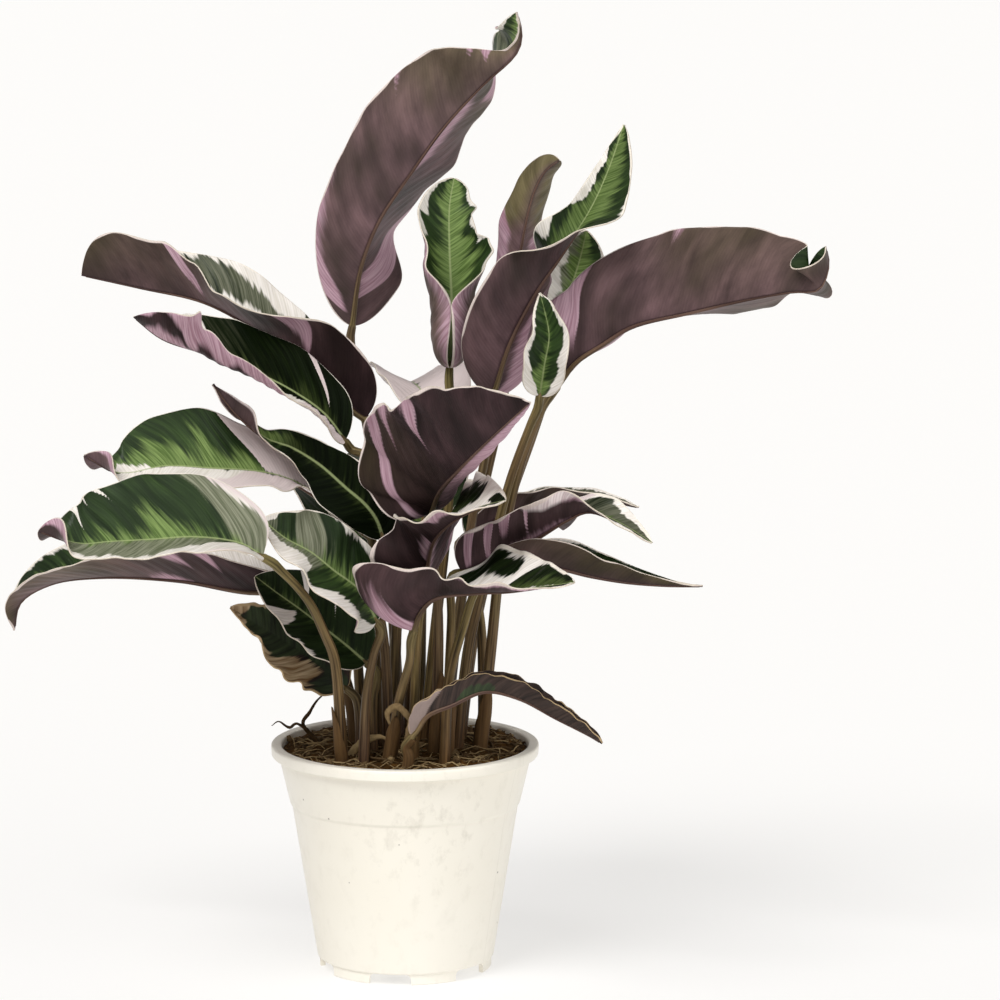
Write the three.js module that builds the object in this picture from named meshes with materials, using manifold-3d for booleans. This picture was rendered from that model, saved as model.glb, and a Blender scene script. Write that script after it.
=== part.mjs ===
// A potted calathea: a clump of long-stalked, folded and twisted leaves in a thin-walled nursery pot.
// Millimetres, +Z up. The origin is on the floor under the middle of the pot; the front faces -Y.
import * as THREE from "three";
import { mergeVertices } from "three/addons/utils/BufferGeometryUtils.js";
import Module from "manifold-3d";

const wasm = await Module();
wasm.setup();

// ---- driving dimensions: the pot ----
const POT_HEIGHT = 102;
const RIM_RADIUS = 60;
const RIM_HEIGHT = 5;
const RIM_ROUND = 0.8;
const WALL = 1.4;
const UNDER_RIM_RADIUS = 56.6;
const STEP_HEIGHT = 75; // the stacking step in the wall, above the floor
const STEP_DEPTH = 0.9;
const STEP_RADIUS = 51.6;
const STEP_RAMP = 0.8; // the height over which the step runs out
const FOOT_HEIGHT = 5;
const FOOT_RADIUS = 38.6; // outside of the foot ring
const BODY_FOOT_RADIUS = 39.6; // outside of the wall just above the foot ring
const FOOT_WALL = 2.4;
const FOOT_CHAMFER = 0.4;
const FLOOR_THICKNESS = 1.8;
const TURN_SEGMENTS = 40; // round the pot and the soil alike, so that their facets keep clear
const NOTCH_COUNT = 6;
const NOTCH_WIDTH = 19;
// The notch seen from the front, a little to the left.
const FRONT_NOTCH_TURN = THREE.MathUtils.degToRad(-99.5);
const DRAIN_RADIUS = 4;
const DRAIN_RING_RADIUS = 27;
const DRAIN_SIDES = 12;
const CUT_OVER = 3; // how far a cutting shape runs past what it cuts

// ---- driving dimensions: the soil ----
const GAP = 0.3; // between faces that rest on each other
const SOIL_TOP = 99.5;
const STEM_FOOT_HEIGHT = 96.5; // a little under the soil's top, where the stems set out
const SOIL_MOUND = 2.2; // the soil is this much higher in the middle
const SOIL_BUMP = 0.7;
const SOIL_BUMP_LENGTHS = [5.3, 6.1, 3.7];
const SOIL_RINGS = 5;
const SOIL_BEVEL = 1; // the soil's top edge slopes this much
const STEM_DEPTH = 20; // how far a stem stands in the soil
const HOLE_CLEARANCE = 0.6; // round a stem, where it stands in the soil
const HOLE_SIDES = 8;

// ---- driving dimensions: the leaves ----
const BLADE_THICKNESS = 0.8;
const RIB_EXTRA = 0.5; // the midrib stands this much further out of the underside
const BLADE_END_HALF = 1.1; // half of the blade's width where it meets the stem and at its tip
const STEM_RADIUS_FOOT = 2.9;
const STEM_RADIUS_TOP = 1.7;
const STEM_END_GAP = 0.5; // between the end of a stem and its blade
const STEM_NECK = 6; // the last stretch of a stem, in line with the midrib
const STEM_SIDES = 7;
const STEM_STEPS = 11;
const STEM_CROWDING = 1.5; // the rings lie closer together towards the top, where a stem bends

const vector = (p) => new THREE.Vector3(p[0], p[1], p[2]);

// ---- materials ----
const paint = (color, roughness) => new THREE.MeshStandardMaterial({ color, roughness, metalness: 0 });
const MATERIALS = {
  pot: paint(0xf4f1e8, 0.45),
  soil: paint(0x3b2518, 0.95),
  blade: paint(0x3f5a34, 0.5),
  withered: paint(0x8a6f52, 0.8),
  stem: paint(0x6b5a45, 0.6),
};

// ---- the leaves, one entry each ----
// rib: points along the midrib from the top of the stem to the tip.
// half: half of the widest width, measured along the surface.
// round, sharp: how blunt the base and how pointed the tip is.
// face: [place along the rib, the way the top side faces].
// left, right: [place, angle at the midrib, further bend out to the edge, share of the width], from above.
// wave: [height, count] of the ripples along the edge.
// foot: where the stem stands in the soil; stem: points that it passes on its way up.
const LEAVES = [
  {
    name: "top",
    rib: [
      [-24, 45, 284], [-20, 43, 310], [-12, 40, 331], [3, 36, 354], [18, 32, 375], [35, 27, 394],
      [50, 22, 409], [52, 20, 417], [50, 19, 427],
    ],
    half: 35, round: 0.5, sharp: 0.72,
    face: [[0, [0, 1, 0]], [0.7, [0, 1, 0]], [0.86, [-0.8, 0.5, 0.2]], [1, [-0.9, -0.3, 0.3]]],
    left: [
      [0, 40, 0, 1], [0.1, 40, 0, 1], [0.25, 72, 5, 1], [0.5, 66, 0, 1], [0.7, 68, 5, 0.9],
      [0.85, 60, 5, 1.2], [1, 40, 0, 1.9],
    ],
    right: [
      [0, 10, 10, 0.7], [0.3, 5, 15, 0.85], [0.55, 5, 10, 1], [0.75, 5, 0, 1.05], [0.88, 70, 0, 0.3],
      [1, 70, 0, 0.1],
    ],
    wave: [1.2, 5], foot: [-3, 14], stem: [[-4, 20, 126], [-7, 30, 170], [-13, 40, 214], [-20, 44, 250]],
  },
  {
    name: "upper_left",
    rib: [
      [-18, 8, 247], [-33, 4, 262], [-47, 2, 274], [-65, 2, 288], [-88, 4, 300], [-117, 8, 306],
      [-143, 12, 311],
    ],
    half: 27, round: 0.4, sharp: 0.36,
    face: [[0, [0.6, 0.3, 1]], [0.35, [0.2, 0, 1]], [1, [0, 0, 1]]],
    left: [
      [0, 75, 10, 1.15], [0.25, 70, 0, 1], [0.5, 22, 0, 0.75], [0.58, 28, 0, 0.75], [0.66, 52, 0, 0.85],
      [0.76, 62, 3, 1.08], [1, 70, 0, 1.5],
    ],
    right: [[0, 30, 10, 1], [0.3, 38, 10, 0.9], [0.55, 48, 10, 0.9], [0.75, 45, 10, 0.9], [1, 40, 0, 1]],
    wave: [1.2, 4], foot: [-12, 9], stem: [[-3, 12, 164], [-7, 14, 203], [-13, 12, 234]],
  },
  {
    name: "left_high",
    rib: [
      [-26, -9, 240], [-35, -15, 253], [-50, -22, 265], [-68, -29, 275], [-86, -36, 283],
      [-104, -42, 290], [-116, -46, 300],
    ],
    half: 25, round: 0.5, sharp: 0.6,
    face: [[0, [0, -0.6, 0.8]], [1, [0, -0.6, 0.8]]],
    left: [
      [0, 15, 20, 0.8], [0.4, 5, 60, 0.7], [0.62, 0, 110, 0.75], [0.75, 30, 80, 1.1],
      [0.85, 52, 45, 2.1], [1, 60, 30, 3.3],
    ],
    right: [[0, 10, 10, 1], [0.5, 0, 10, 1], [0.75, 0, 10, 1], [0.9, 0, 10, 0.6], [1, 0, 10, 0.3]],
    wave: [1, 4], foot: [-6, 1], stem: [[-3, -8, 168], [-2, -10, 196], [-8, -12, 223], [-17, -11, 234]],
  },
  {
    name: "left_mid",
    rib: [
      [-19, -10, 200], [-35, -10, 213], [-50, -18, 224], [-64, -26, 229], [-84, -36, 232],
      [-103, -42, 234], [-123, -48, 232], [-138, -50, 240],
    ],
    half: 27, round: 0.5, sharp: 0.7,
    face: [[0, [0, -0.5, 0.87]], [0.85, [0, -0.5, 0.87]], [1, [0, 1, 0.3]]],
    left: [[0, 20, 10, 0.45], [0.27, 20, 10, 0.38], [0.42, 15, 10, 1], [1, 10, 10, 1]],
    right: [[0, 30, 10, 0.45], [0.35, 28, 10, 0.7], [0.65, 28, 10, 1.15], [1, 20, 10, 1]],
    wave: [1, 4], foot: [-7, -12], stem: [[-9, -14, 151], [-15, -11, 185]],
  },
  {
    name: "left_inner",
    rib: [
      [-9, -19, 198], [-12, -21, 207], [-17, -22, 214], [-25, -22, 221], [-37, -21, 231.5],
      [-49, -22, 239], [-60, -25, 243.5], [-73, -28, 255], [-83, -28, 268],
    ],
    half: 16, round: 0.5, sharp: 1,
    face: [
      [0, [0, -1, 0.15]], [0.45, [0, -1, 0.15]], [0.7, [0.7, -0.3, 0.5]], [0.85, [0.5, 0.6, 0.3]],
      [1, [0, 1, 0]],
    ],
    left: [
      [0, 10, 10, 0.9], [0.3, 10, 10, 0.85], [0.45, 10, 10, 0.6], [0.6, 10, 10, 0.35],
      [0.85, 20, 10, 1.2], [1, 20, 10, 1.2],
    ],
    right: [
      [0, 10, 10, 0.9], [0.3, 10, 10, 0.85], [0.45, 10, 10, 0.6], [0.6, 10, 5, 0.55],
      [0.75, 10, 0, 0.5], [1, 10, 0, 0.7],
    ],
    wave: [1, 4], foot: [-13, -3], stem: [[-12, -4, 149], [-9, -9, 172], [-8, -15, 188]],
  },
  {
    name: "left_low",
    rib: [
      [-60, -70, 199], [-69, -73, 205], [-88, -79, 209], [-107, -85, 209], [-124, -90, 209],
      [-137, -94, 209], [-154, -98, 215],
    ],
    half: 30, round: 0.5, sharp: 0.65,
    face: [[0, [0, -0.5, 0.87]], [0.85, [0, -0.5, 0.87]], [1, [0, 1, 0.3]]],
    left: [[0, 30, 0], [1, 20, 0]],
    right: [[0, 30, 10], [1, 25, 10]],
    wave: [1, 4], foot: [-27, -30],
    stem: [[-30, -42, 148], [-34, -49, 161], [-40, -57, 176], [-46, -62, 185], [-53, -66, 193]],
  },
  {
    name: "left_trailing",
    rib: [
      [-50, 2, 172], [-69, 10, 169], [-102, 26, 171], [-139, 44, 169], [-163, 58, 163], [-178, 68, 152],
      [-181, 72, 139],
    ],
    half: 24, round: 0.5, sharp: 0.8,
    face: [[0, [0, 0, 1]], [1, [-1, 0, 0.3]]],
    left: [[0, 50, 10], [1, 50, 10]],
    right: [[0, 30, 10], [1, 30, 10]],
    wave: [1, 4], foot: [-22, 3], stem: [[-24, 2, 121], [-33, 3, 148], [-41, 3, 164]],
  },
  {
    name: "left_front",
    rib: [
      [-12, -30, 163], [-19, -38, 178], [-30, -44, 188], [-40, -48, 197], [-51, -52, 204],
      [-61, -56, 213],
    ],
    half: 24, round: 0.5, sharp: 0.7,
    face: [[0, [0, -0.7, 0.7]], [1, [0, -0.7, 0.7]]],
    left: [[0, 20, 10], [1, 20, 10]],
    right: [[0, 20, 10, 0.5], [0.4, 20, 10, 0.8], [1, 20, 10, 1]],
    wave: [1, 4], foot: [-18, -33], stem: [[-16, -31, 132], [-13, -30, 148]],
  },
  {
    name: "left_shade",
    rib: [
      [-17, -14, 141], [-26, -14, 149], [-36, -14, 157], [-46, -14, 165], [-57, -14, 173],
      [-66, -14, 180],
    ],
    half: 20, round: 0.5, sharp: 0.7, grid: [10, 4],
    face: [[0, [0, -0.7, 0.7]], [1, [0, -0.7, 0.7]]],
    left: [[0, 20, 10], [1, 20, 10]],
    right: [[0, 20, 10], [1, 20, 10]],
    wave: [1, 4], foot: [-14, -17], stem: [[-14, -16, 124]],
  },
  {
    name: "withered", withered: true,
    rib: [
      [-26, -12, 129], [-37, -11, 139], [-48, -11, 147], [-59, -12, 154], [-70, -13, 161],
      [-77, -14, 166],
    ],
    half: 16, round: 0.5, sharp: 0.7, grid: [10, 4],
    face: [[0, [0, -0.7, 0.7]], [1, [0, -0.7, 0.7]]],
    left: [[0, -10, 40, 1.2], [0.5, -10, 60, 1.3], [1, 20, 40, 1]],
    right: [[0, 20, 10], [1, 20, 10]],
    wave: [1, 4], foot: [-20, -11], stem: [[-20, -12, 112]],
  },
  {
    name: "centre",
    rib: [[12, -34, 212], [16, -54, 225], [24, -78, 238], [33, -98, 250], [44, -115, 263], [55, -128, 275]],
    half: 44, round: 0.5, sharp: 0.7, grid: [14, 6],
    face: [[0, [-0.25, 0.38, 0.89]], [1, [-0.25, 0.38, 0.89]]],
    left: [[0, -30, 90, 0.5], [0.3, -30, 150, 0.5], [1, -30, 130, 0.5]],
    right: [
      [0, -20, 20, 1.3], [0.06, 20, 15, 1.3], [0.15, 50, 10, 1.2], [0.3, 55, 10, 1.05], [0.47, 52, 5, 0.86],
      [0.7, 50, 5, 0.95], [1, 50, 0, 1],
    ],
    wave: [1.5, 6], foot: [13, -20], stem: [[15, -22, 135], [15, -26, 172], [12, -31, 199]],
  },
  {
    name: "front_cup",
    rib: [[9, -42, 179], [11, -52, 193], [14, -62, 205], [22, -73, 215], [34, -84, 223], [45, -90, 227]],
    half: 26, round: 0.42, sharp: 0.7, grid: [11, 6],
    face: [[0, [-0.25, 0.38, 0.89]], [0.5, [-0.2, 0.3, 0.9]], [1, [0, 0, 1]]],
    left: [[0, 40, 10, 1.3], [1, 35, 5, 1.3]],
    right: [[0, 10, 20, 1.4], [0.15, 25, 15, 1.15], [0.3, 55, 10, 0.8], [0.6, 10, 0, 0.8], [1, -10, 0, 0.8]],
    wave: [1.5, 6], foot: [4, -27], stem: [[5, -30, 132], [7, -37, 165]],
  },
  {
    name: "front_low",
    rib: [
      [5, -50, 163], [7, -55, 171], [14, -64, 180], [32, -79, 185], [47, -92, 188], [62, -103, 192],
      [74, -110, 195],
    ],
    half: 28, round: 0.4, sharp: 0.7, grid: [11, 6],
    face: [[0, [-0.17, 0.16, 0.97]], [1, [0, 0, 1]]],
    left: [[0, 30, 10, 0.35], [0.3, 30, 10, 0.4], [0.5, 35, 10, 1], [1, 25, 5, 1]],
    right: [
      [0, 0, 95, 1.7], [0.12, 5, 90, 1.6], [0.3, 0, 80, 0.85], [0.6, 10, 20, 0.7],
      [1, -10, 10, 0.7],
    ],
    wave: [1.5, 6], foot: [-7, -30], stem: [[-2, -36, 128], [3, -43, 148]],
  },
  {
    name: "young",
    rib: [[20, 17, 269], [21, 21, 294], [20, 27, 320], [20, 31, 340], [22, 33, 352]],
    half: 27, round: 0.45, sharp: 0.6, grid: [11, 6],
    face: [[0, [0, -1, 0]], [1, [0, -1, 0]]],
    left: [[0, 0, 170, 1.3], [0.3, 5, 170, 1.15], [0.55, 20, 90, 1], [1, 20, 20, 1]],
    right: [[0, 0, 170, 1.4], [0.3, 5, 170, 1.2], [0.5, 10, 80, 1], [0.8, 10, 20, 1], [1, 10, 20, 1]],
    wave: [1, 3], foot: [8, 4], stem: [[14, 6, 156], [19, 10, 201], [21, 14, 246]],
  },
  {
    name: "spear",
    rib: [[48, 28, 284], [50, 30, 306], [53, 33, 326], [58, 35, 346], [63, 35, 355], [69, 33, 360]],
    half: 16, round: 0.4, sharp: 0.5, grid: [10, 4],
    face: [[0, [0, 1, 0]], [1, [0, 1, 0]]],
    left: [[0, 50, 20], [1, 50, 20]],
    right: [[0, 45, 10], [1, 45, 0]],
    wave: [1, 3], foot: [17, 15], stem: [[25, 18, 163], [34, 20, 208], [44, 24, 253]],
  },
  {
    name: "twisted",
    rib: [
      [39, -2, 259], [46, -5, 282], [58, -8, 306], [69, -8, 322], [81, -6, 340], [90, -3, 359],
      [97, 0, 379],
    ],
    half: 26, round: 0.5, sharp: 0.75,
    face: [
      [0, [-0.6, 0.7, 0.3]], [0.42, [-0.8, 0.3, 0.45]], [0.6, [-0.75, -0.5, 0.3]],
      [0.8, [-0.6, -0.8, 0.2]], [1, [-0.6, -0.8, 0.2]],
    ],
    left: [[0, -10, 5, 1], [0.4, 0, 10, 1], [0.55, 30, 10, 0.75], [0.7, 40, 10, 0.45], [1, 20, 0, 0.4]],
    right: [[0, 45, 10, 1], [0.4, 50, 10, 0.9], [0.55, 40, 10, 0.5], [0.75, 10, 0, 1.1], [1, 10, 0, 1.1]],
    wave: [1, 4], foot: [15, -4], stem: [[24, -4, 158], [30, -3, 203], [37, -2, 239]],
  },
  {
    name: "back_pale",
    rib: [[14, 24, 240], [9, 48, 250], [4, 72, 253], [0, 98, 250], [-3, 118, 242]],
    half: 24, round: 0.5, sharp: 0.7, grid: [11, 6],
    face: [[0, [0, 0, 1]], [1, [0, 0, 1]]],
    left: [[0, 25, 10], [1, 20, 10]],
    right: [[0, 25, 10], [1, 20, 10]],
    wave: [1, 4], foot: [6, 20], stem: [[8, 22, 181], [11, 23, 217]],
  },
  {
    name: "small",
    rib: [[60, -14, 261], [62, -17, 275], [64, -18, 288], [62, -16, 299], [60, -12, 306]],
    half: 12.5, round: 0.5, sharp: 0.9, grid: [8, 4],
    face: [[0, [0, -1, 0.2]], [1, [0, -1, 0.2]]],
    left: [[0, 35, 10], [1, 35, 10]],
    right: [[0, 35, 10], [1, 35, 10]],
    wave: [0.6, 3], foot: [23, -9], stem: [[29, -10, 150], [38, -11, 187], [47, -12, 223], [56, -13, 248]],
  },
  {
    name: "right_inner",
    rib: [[69, 22, 276], [72, 25, 289], [74, 27, 302], [78, 26, 316], [81, 20, 330]],
    half: 20, round: 0.45, sharp: 0.6, grid: [8, 4],
    face: [[0, [0, -1, 0.2]], [1, [0, -1, 0.2]]],
    left: [[0, 15, 10], [1, 15, 10]],
    right: [[0, 20, 20], [0.3, 20, 60], [1, 20, 20]],
    wave: [0.6, 3], foot: [24, 14], stem: [[32, 15, 155], [44, 19, 200], [58, 21, 240]],
  },
  {
    name: "right_wing",
    rib: [
      [68, 0, 263], [76, -3, 274], [87, -7, 282], [100, -13, 291], [125, -26, 299], [148, -38, 306],
      [168, -48, 311], [180, -53, 313], [184, -52, 323], [183, -48, 331],
    ],
    half: 37, round: 0.5, sharp: 0.6,
    face: [[0, [0, 1, 0]], [0.85, [0, 1, 0]], [1, [-1, 0, 0]]],
    left: [[0, 80, 0, 1], [0.4, 80, 0, 1], [0.6, 72, 0, 1], [0.74, 84, 0, 0.9], [1, 60, 0, 1]],
    right: [
      [0, 10, 10, 1.5], [0.08, 10, 10, 1.2], [0.2, 10, 10, 0.97], [0.5, 5, 10, 1], [0.7, 5, 5, 0.97],
      [0.85, 5, 0, 0.85], [1, 10, 0, 0.6],
    ],
    wave: [1.2, 5], foot: [33, -6], stem: [[38, -7, 141], [44, -7, 195], [52, -6, 230], [62, -2, 255]],
  },
  {
    name: "right_mid",
    rib: [
      [26, -24, 184], [42, -34, 193], [57, -45, 202], [71, -54, 212], [81, -60, 217], [94, -66, 213],
      [108, -70, 205],
    ],
    half: 20, round: 0.45, sharp: 0.75, grid: [11, 6],
    face: [[0, [0, 0.2, 1]], [1, [0, 0, 1]]],
    left: [[0, 35, 10, 0.6], [0.4, 35, 10, 0.7], [1, 30, 10, 0.9]],
    right: [[0, 50, 10, 1.2], [0.3, 50, 10, 0.8], [0.6, 50, 10, 0.8], [0.85, 10, 0, 0.7], [1, 0, 0, 1]],
    wave: [1, 5], foot: [19, -23], stem: [[20, -23, 135], [21, -21, 162]],
  },
  {
    name: "right_sliver",
    rib: [[29, 8, 194], [42, 6, 203], [60, 2, 209], [78, -2, 212], [91, -5, 212], [104, -8, 210]],
    half: 10, round: 0.5, sharp: 0.8, grid: [10, 4],
    face: [[0, [0, 0, 1]], [1, [0, 0, 1]]],
    left: [[0, 45, 10], [1, 30, 10]],
    right: [[0, 60, 10], [1, 40, 0]],
    wave: [0.8, 4], foot: [35, 5], stem: [[35, 6, 124], [33, 7, 161]],
  },
  {
    name: "right_folded",
    rib: [
      [38, -42, 183], [51, -50, 189], [66, -57, 192], [82, -61, 189], [97, -65, 187], [114, -68, 186],
      [130, -70, 186],
    ],
    half: 14, round: 0.5, sharp: 1.3, grid: [12, 4],
    face: [[0, [0, 0, 1]], [1, [0, 0, 1]]],
    left: [[0, 70, 10, 0.7], [0.5, 65, 10, 1], [1, 60, 10, 1]],
    right: [[0, 70, 10], [1, 60, 0]],
    wave: [0.8, 5], foot: [18, -34], stem: [[20, -34, 137], [26, -34, 160]],
  },
  {
    name: "drooping", withered: true,
    rib: [
      [4, -43, 114], [10, -45, 124], [21, -46, 129], [36, -46, 135], [51, -48, 132], [67, -52, 124],
      [82, -57, 117], [87, -58, 114],
    ],
    half: 9, round: 0.5, sharp: 0.6, grid: [12, 4],
    face: [[0, [-1, 0, 0.3]], [0.3, [0, 0, 1]], [1, [0.5, 0, 1]]],
    left: [[0, 75, 10], [1, 60, 10]],
    right: [[0, 75, 10], [1, 60, 0]],
    wave: [0.8, 4], foot: [1, -42], stem: [[2, -42, 105]], stemSteps: 5,
  },
  {
    name: "back_left",
    rib: [[-24, 34, 179], [-32, 58, 199], [-38, 84, 206], [-44, 110, 206], [-49, 130, 199]],
    half: 27, round: 0.5, sharp: 0.7, grid: [11, 6],
    face: [[0, [0, 0, 1]], [1, [0, 0, 1]]],
    left: [[0, 25, 10], [1, 20, 10]],
    right: [[0, 25, 10], [1, 20, 10]],
    wave: [1.2, 4], foot: [-19, 21], stem: [[-22, 27, 140]],
  },
  {
    name: "back",
    rib: [[6, 40, 186], [10, 60, 210], [14, 84, 226], [18, 108, 230], [21, 128, 224]],
    half: 25, round: 0.5, sharp: 0.7, grid: [11, 6],
    face: [[0, [0, 0, 1]], [1, [0, 0, 1]]],
    left: [[0, 25, 10], [1, 20, 10]],
    right: [[0, 25, 10], [1, 20, 10]],
    wave: [1.2, 4], foot: [0, 30], stem: [[3, 34, 140]],
  },
  {
    name: "back_right",
    rib: [[36, 36, 180], [46, 54, 192], [56, 78, 193], [65, 99, 187], [72, 117, 178]],
    half: 24, round: 0.5, sharp: 0.7, grid: [11, 6],
    face: [[0, [0, 0, 1]], [1, [0, 0, 1]]],
    left: [[0, 25, 10], [1, 20, 10]],
    right: [[0, 25, 10], [1, 20, 10]],
    wave: [1.2, 4], foot: [22, 30], stem: [[29, 31, 140]],
  },
];

// ---- small tools ----

// The value between keys [place, a, b, ...] at place t, eased so that it has no corners.
function between(keys, t) {
  let k = 0;
  while (k < keys.length - 2 && t > keys[k + 1][0]) k += 1;
  const [from, to] = [keys[k], keys[Math.min(k + 1, keys.length - 1)]];
  const share = THREE.MathUtils.smoothstep(t, from[0], Math.max(to[0], from[0] + 1e-6));
  return from.slice(1).map((value, i) => {
    const end = to[i + 1];
    return Array.isArray(value)
      ? value.map((v, j) => THREE.MathUtils.lerp(v, end[j], share))
      : THREE.MathUtils.lerp(value, end, share);
  });
}

function closedGeometry(positions, triangles) {
  const geometry = new THREE.BufferGeometry();
  geometry.setAttribute("position", new THREE.Float32BufferAttribute(positions, 3));
  geometry.setIndex(triangles);
  return geometry;
}

function merged(geometry) {
  geometry.deleteAttribute("normal");
  geometry.deleteAttribute("uv");
  return mergeVertices(geometry, 1e-4);
}

function toSolid(geometry) {
  const shape = merged(geometry.clone());
  return new wasm.Manifold(
    new wasm.Mesh({
      numProp: 3,
      vertProperties: new Float32Array(shape.attributes.position.array),
      triVerts: new Uint32Array(shape.index.array),
    }),
  );
}

function fromSolid(solid) {
  const mesh = solid.getMesh();
  return closedGeometry(Array.from(mesh.vertProperties), Array.from(mesh.triVerts));
}

function sub(name, geometry, material) {
  const mesh = new THREE.Mesh(geometry, material);
  mesh.name = name;
  return mesh;
}

// ---- blades ----

// Half of the blade's width at place t, as a share of the widest: blunt at the base, pointed at the tip.
function outline(t, round, sharp) {
  const widest = round / (round + sharp);
  return (t / widest) ** round * ((1 - t) / (1 - widest)) ** sharp;
}

function ribCurve(leaf) {
  return new THREE.CatmullRomCurve3(leaf.rib.map(vector), false, "centripetal");
}

// A point in the middle of the blade's thickness.
// t runs from base to tip, s from the left edge (-1) to the right (1).
function bladePoint(leaf, curve, t, s) {
  const along = curve.getTangentAt(t);
  const face = vector(between(leaf.face, t)[0]);
  const normal = face.addScaledVector(along, -face.dot(along)).normalize();
  const side = new THREE.Vector3().crossVectors(along, normal).multiplyScalar(Math.sign(s) || 1);
  const [foldDegrees, curlDegrees, share = 1] = between(s < 0 ? leaf.left : leaf.right, t);
  const [fold, curl] = [foldDegrees, curlDegrees].map(THREE.MathUtils.degToRad);
  const reach = Math.abs(s);
  const bend = Math.abs(curl) < 1e-3 ? 1e-3 : curl;
  const end = fold + bend * reach;
  const half = Math.max(BLADE_END_HALF, leaf.half * share * outline(t, leaf.round, leaf.sharp));
  const out = (half * (Math.sin(end) - Math.sin(fold))) / bend;
  const up = (half * (Math.cos(fold) - Math.cos(end))) / bend;
  const [height, count] = leaf.wave;
  const swing = Math.sin(2 * Math.PI * count * t + (s < 0 ? 2 : 0));
  const ripple = height * reach ** 2 * swing * Math.sin(Math.PI * t);
  return curve
    .getPointAt(t)
    .addScaledVector(side, out - ripple * Math.sin(end))
    .addScaledVector(normal, up + ripple * Math.cos(end));
}

// Two like sheets, the top and the underside, joined round their edge, both split into the same triangles.
function blade(leaf) {
  const [rows, columns] = leaf.grid ?? [13, 6];
  const curve = ribCurve(leaf);
  const places = Array.from({ length: rows + 1 }, (_, i) => (1 - Math.cos((Math.PI * i) / rows)) / 2);
  const middle = places.map((t) =>
    Array.from({ length: columns + 1 }, (_, j) => bladePoint(leaf, curve, t, (2 * j) / columns - 1)));
  const top = [];
  const under = [];
  for (let i = 0; i <= rows; i += 1) {
    for (let j = 0; j <= columns; j += 1) {
      const alongRib = middle[Math.min(i + 1, rows)][j].clone().sub(middle[Math.max(i - 1, 0)][j]);
      const across = middle[i][Math.min(j + 1, columns)].clone().sub(middle[i][Math.max(j - 1, 0)]);
      const normal = across.cross(alongRib).normalize();
      const rib = j === columns / 2 ? RIB_EXTRA * (1 - places[i]) : 0;
      top.push(...middle[i][j].clone().addScaledVector(normal, BLADE_THICKNESS / 2).toArray());
      under.push(...middle[i][j].clone().addScaledVector(normal, -BLADE_THICKNESS / 2 - rib).toArray());
    }
  }
  const count = (rows + 1) * (columns + 1);
  const at = (i, j) => i * (columns + 1) + j;
  const triangles = [];
  for (let i = 0; i < rows; i += 1) {
    for (let j = 0; j < columns; j += 1) {
      const [a, b, c, d] = [at(i, j), at(i, j + 1), at(i + 1, j + 1), at(i + 1, j)];
      const halves = j < columns / 2 ? [[a, b, c], [a, c, d]] : [[a, b, d], [b, c, d]];
      for (const [p, q, r] of halves) triangles.push(p, q, r, p + count, r + count, q + count);
    }
  }
  const edge = [];
  for (let j = 0; j < columns; j += 1) edge.push(at(0, j));
  for (let i = 0; i < rows; i += 1) edge.push(at(i, columns));
  for (let j = columns; j > 0; j -= 1) edge.push(at(rows, j));
  for (let i = rows; i > 0; i -= 1) edge.push(at(i, 0));
  edge.forEach((from, k) => {
    const to = edge[(k + 1) % edge.length];
    triangles.push(from, from + count, to + count, from, to + count, to);
  });
  return closedGeometry([...top, ...under], triangles);
}

// ---- stems ----

// A stem: straight where it stands in the soil, then on to where its blade begins, ending just short of it.
function stemCurve(leaf) {
  const base = vector(leaf.rib[0]);
  const inward = ribCurve(leaf).getTangentAt(0);
  const top = base.clone().addScaledVector(inward, -STEM_END_GAP);
  const neck = base.clone().addScaledVector(inward, -STEM_NECK);
  const foot = new THREE.Vector3(leaf.foot[0], leaf.foot[1], STEM_FOOT_HEIGHT);
  const path = [foot, ...leaf.stem.map(vector), neck, top];
  const lean = path[1].clone().sub(foot).normalize();
  const bottom = foot.clone().addScaledVector(lean, -STEM_DEPTH / lean.z);
  return new THREE.CatmullRomCurve3([bottom, ...path], false, "centripetal");
}

function stem(leaf) {
  const curve = stemCurve(leaf);
  const steps = leaf.stemSteps ?? STEM_STEPS;
  const tube = merged(new THREE.CylinderGeometry(1, 1, 1, STEM_SIDES, steps));
  const position = tube.attributes.position;
  for (let k = 0; k < position.count; k += 1) {
    const t = 1 - (0.5 - position.getY(k)) ** STEM_CROWDING;
    const along = curve.getTangentAt(t);
    const side = new THREE.Vector3(1, 0, 0).addScaledVector(along, -along.x).normalize();
    const other = new THREE.Vector3().crossVectors(side, along);
    const radius = THREE.MathUtils.lerp(STEM_RADIUS_FOOT, STEM_RADIUS_TOP, t);
    const point = curve
      .getPointAt(t)
      .addScaledVector(side, radius * position.getX(k))
      .addScaledVector(other, radius * position.getZ(k));
    position.setXYZ(k, point.x, point.y, point.z);
  }
  return tube;
}

// What is taken out of the soil for a stem: a plain straight hole round its lowest stretch.
function stemHole(leaf) {
  const curve = stemCurve(leaf);
  const bottom = curve.points[0];
  const lean = curve.points[1].clone().sub(bottom).normalize();
  const radius = (STEM_RADIUS_FOOT + HOLE_CLEARANCE) / Math.cos(Math.PI / HOLE_SIDES);
  const length = STEM_DEPTH / lean.z + 4 * CUT_OVER;
  const hole = new THREE.CylinderGeometry(radius, radius, length, HOLE_SIDES);
  hole.translate(0, length / 2 - GAP, 0);
  hole.applyQuaternion(new THREE.Quaternion().setFromUnitVectors(new THREE.Vector3(0, 1, 0), lean));
  hole.translate(bottom.x, bottom.y, bottom.z);
  return toSolid(hole);
}

// ---- the pot ----

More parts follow.
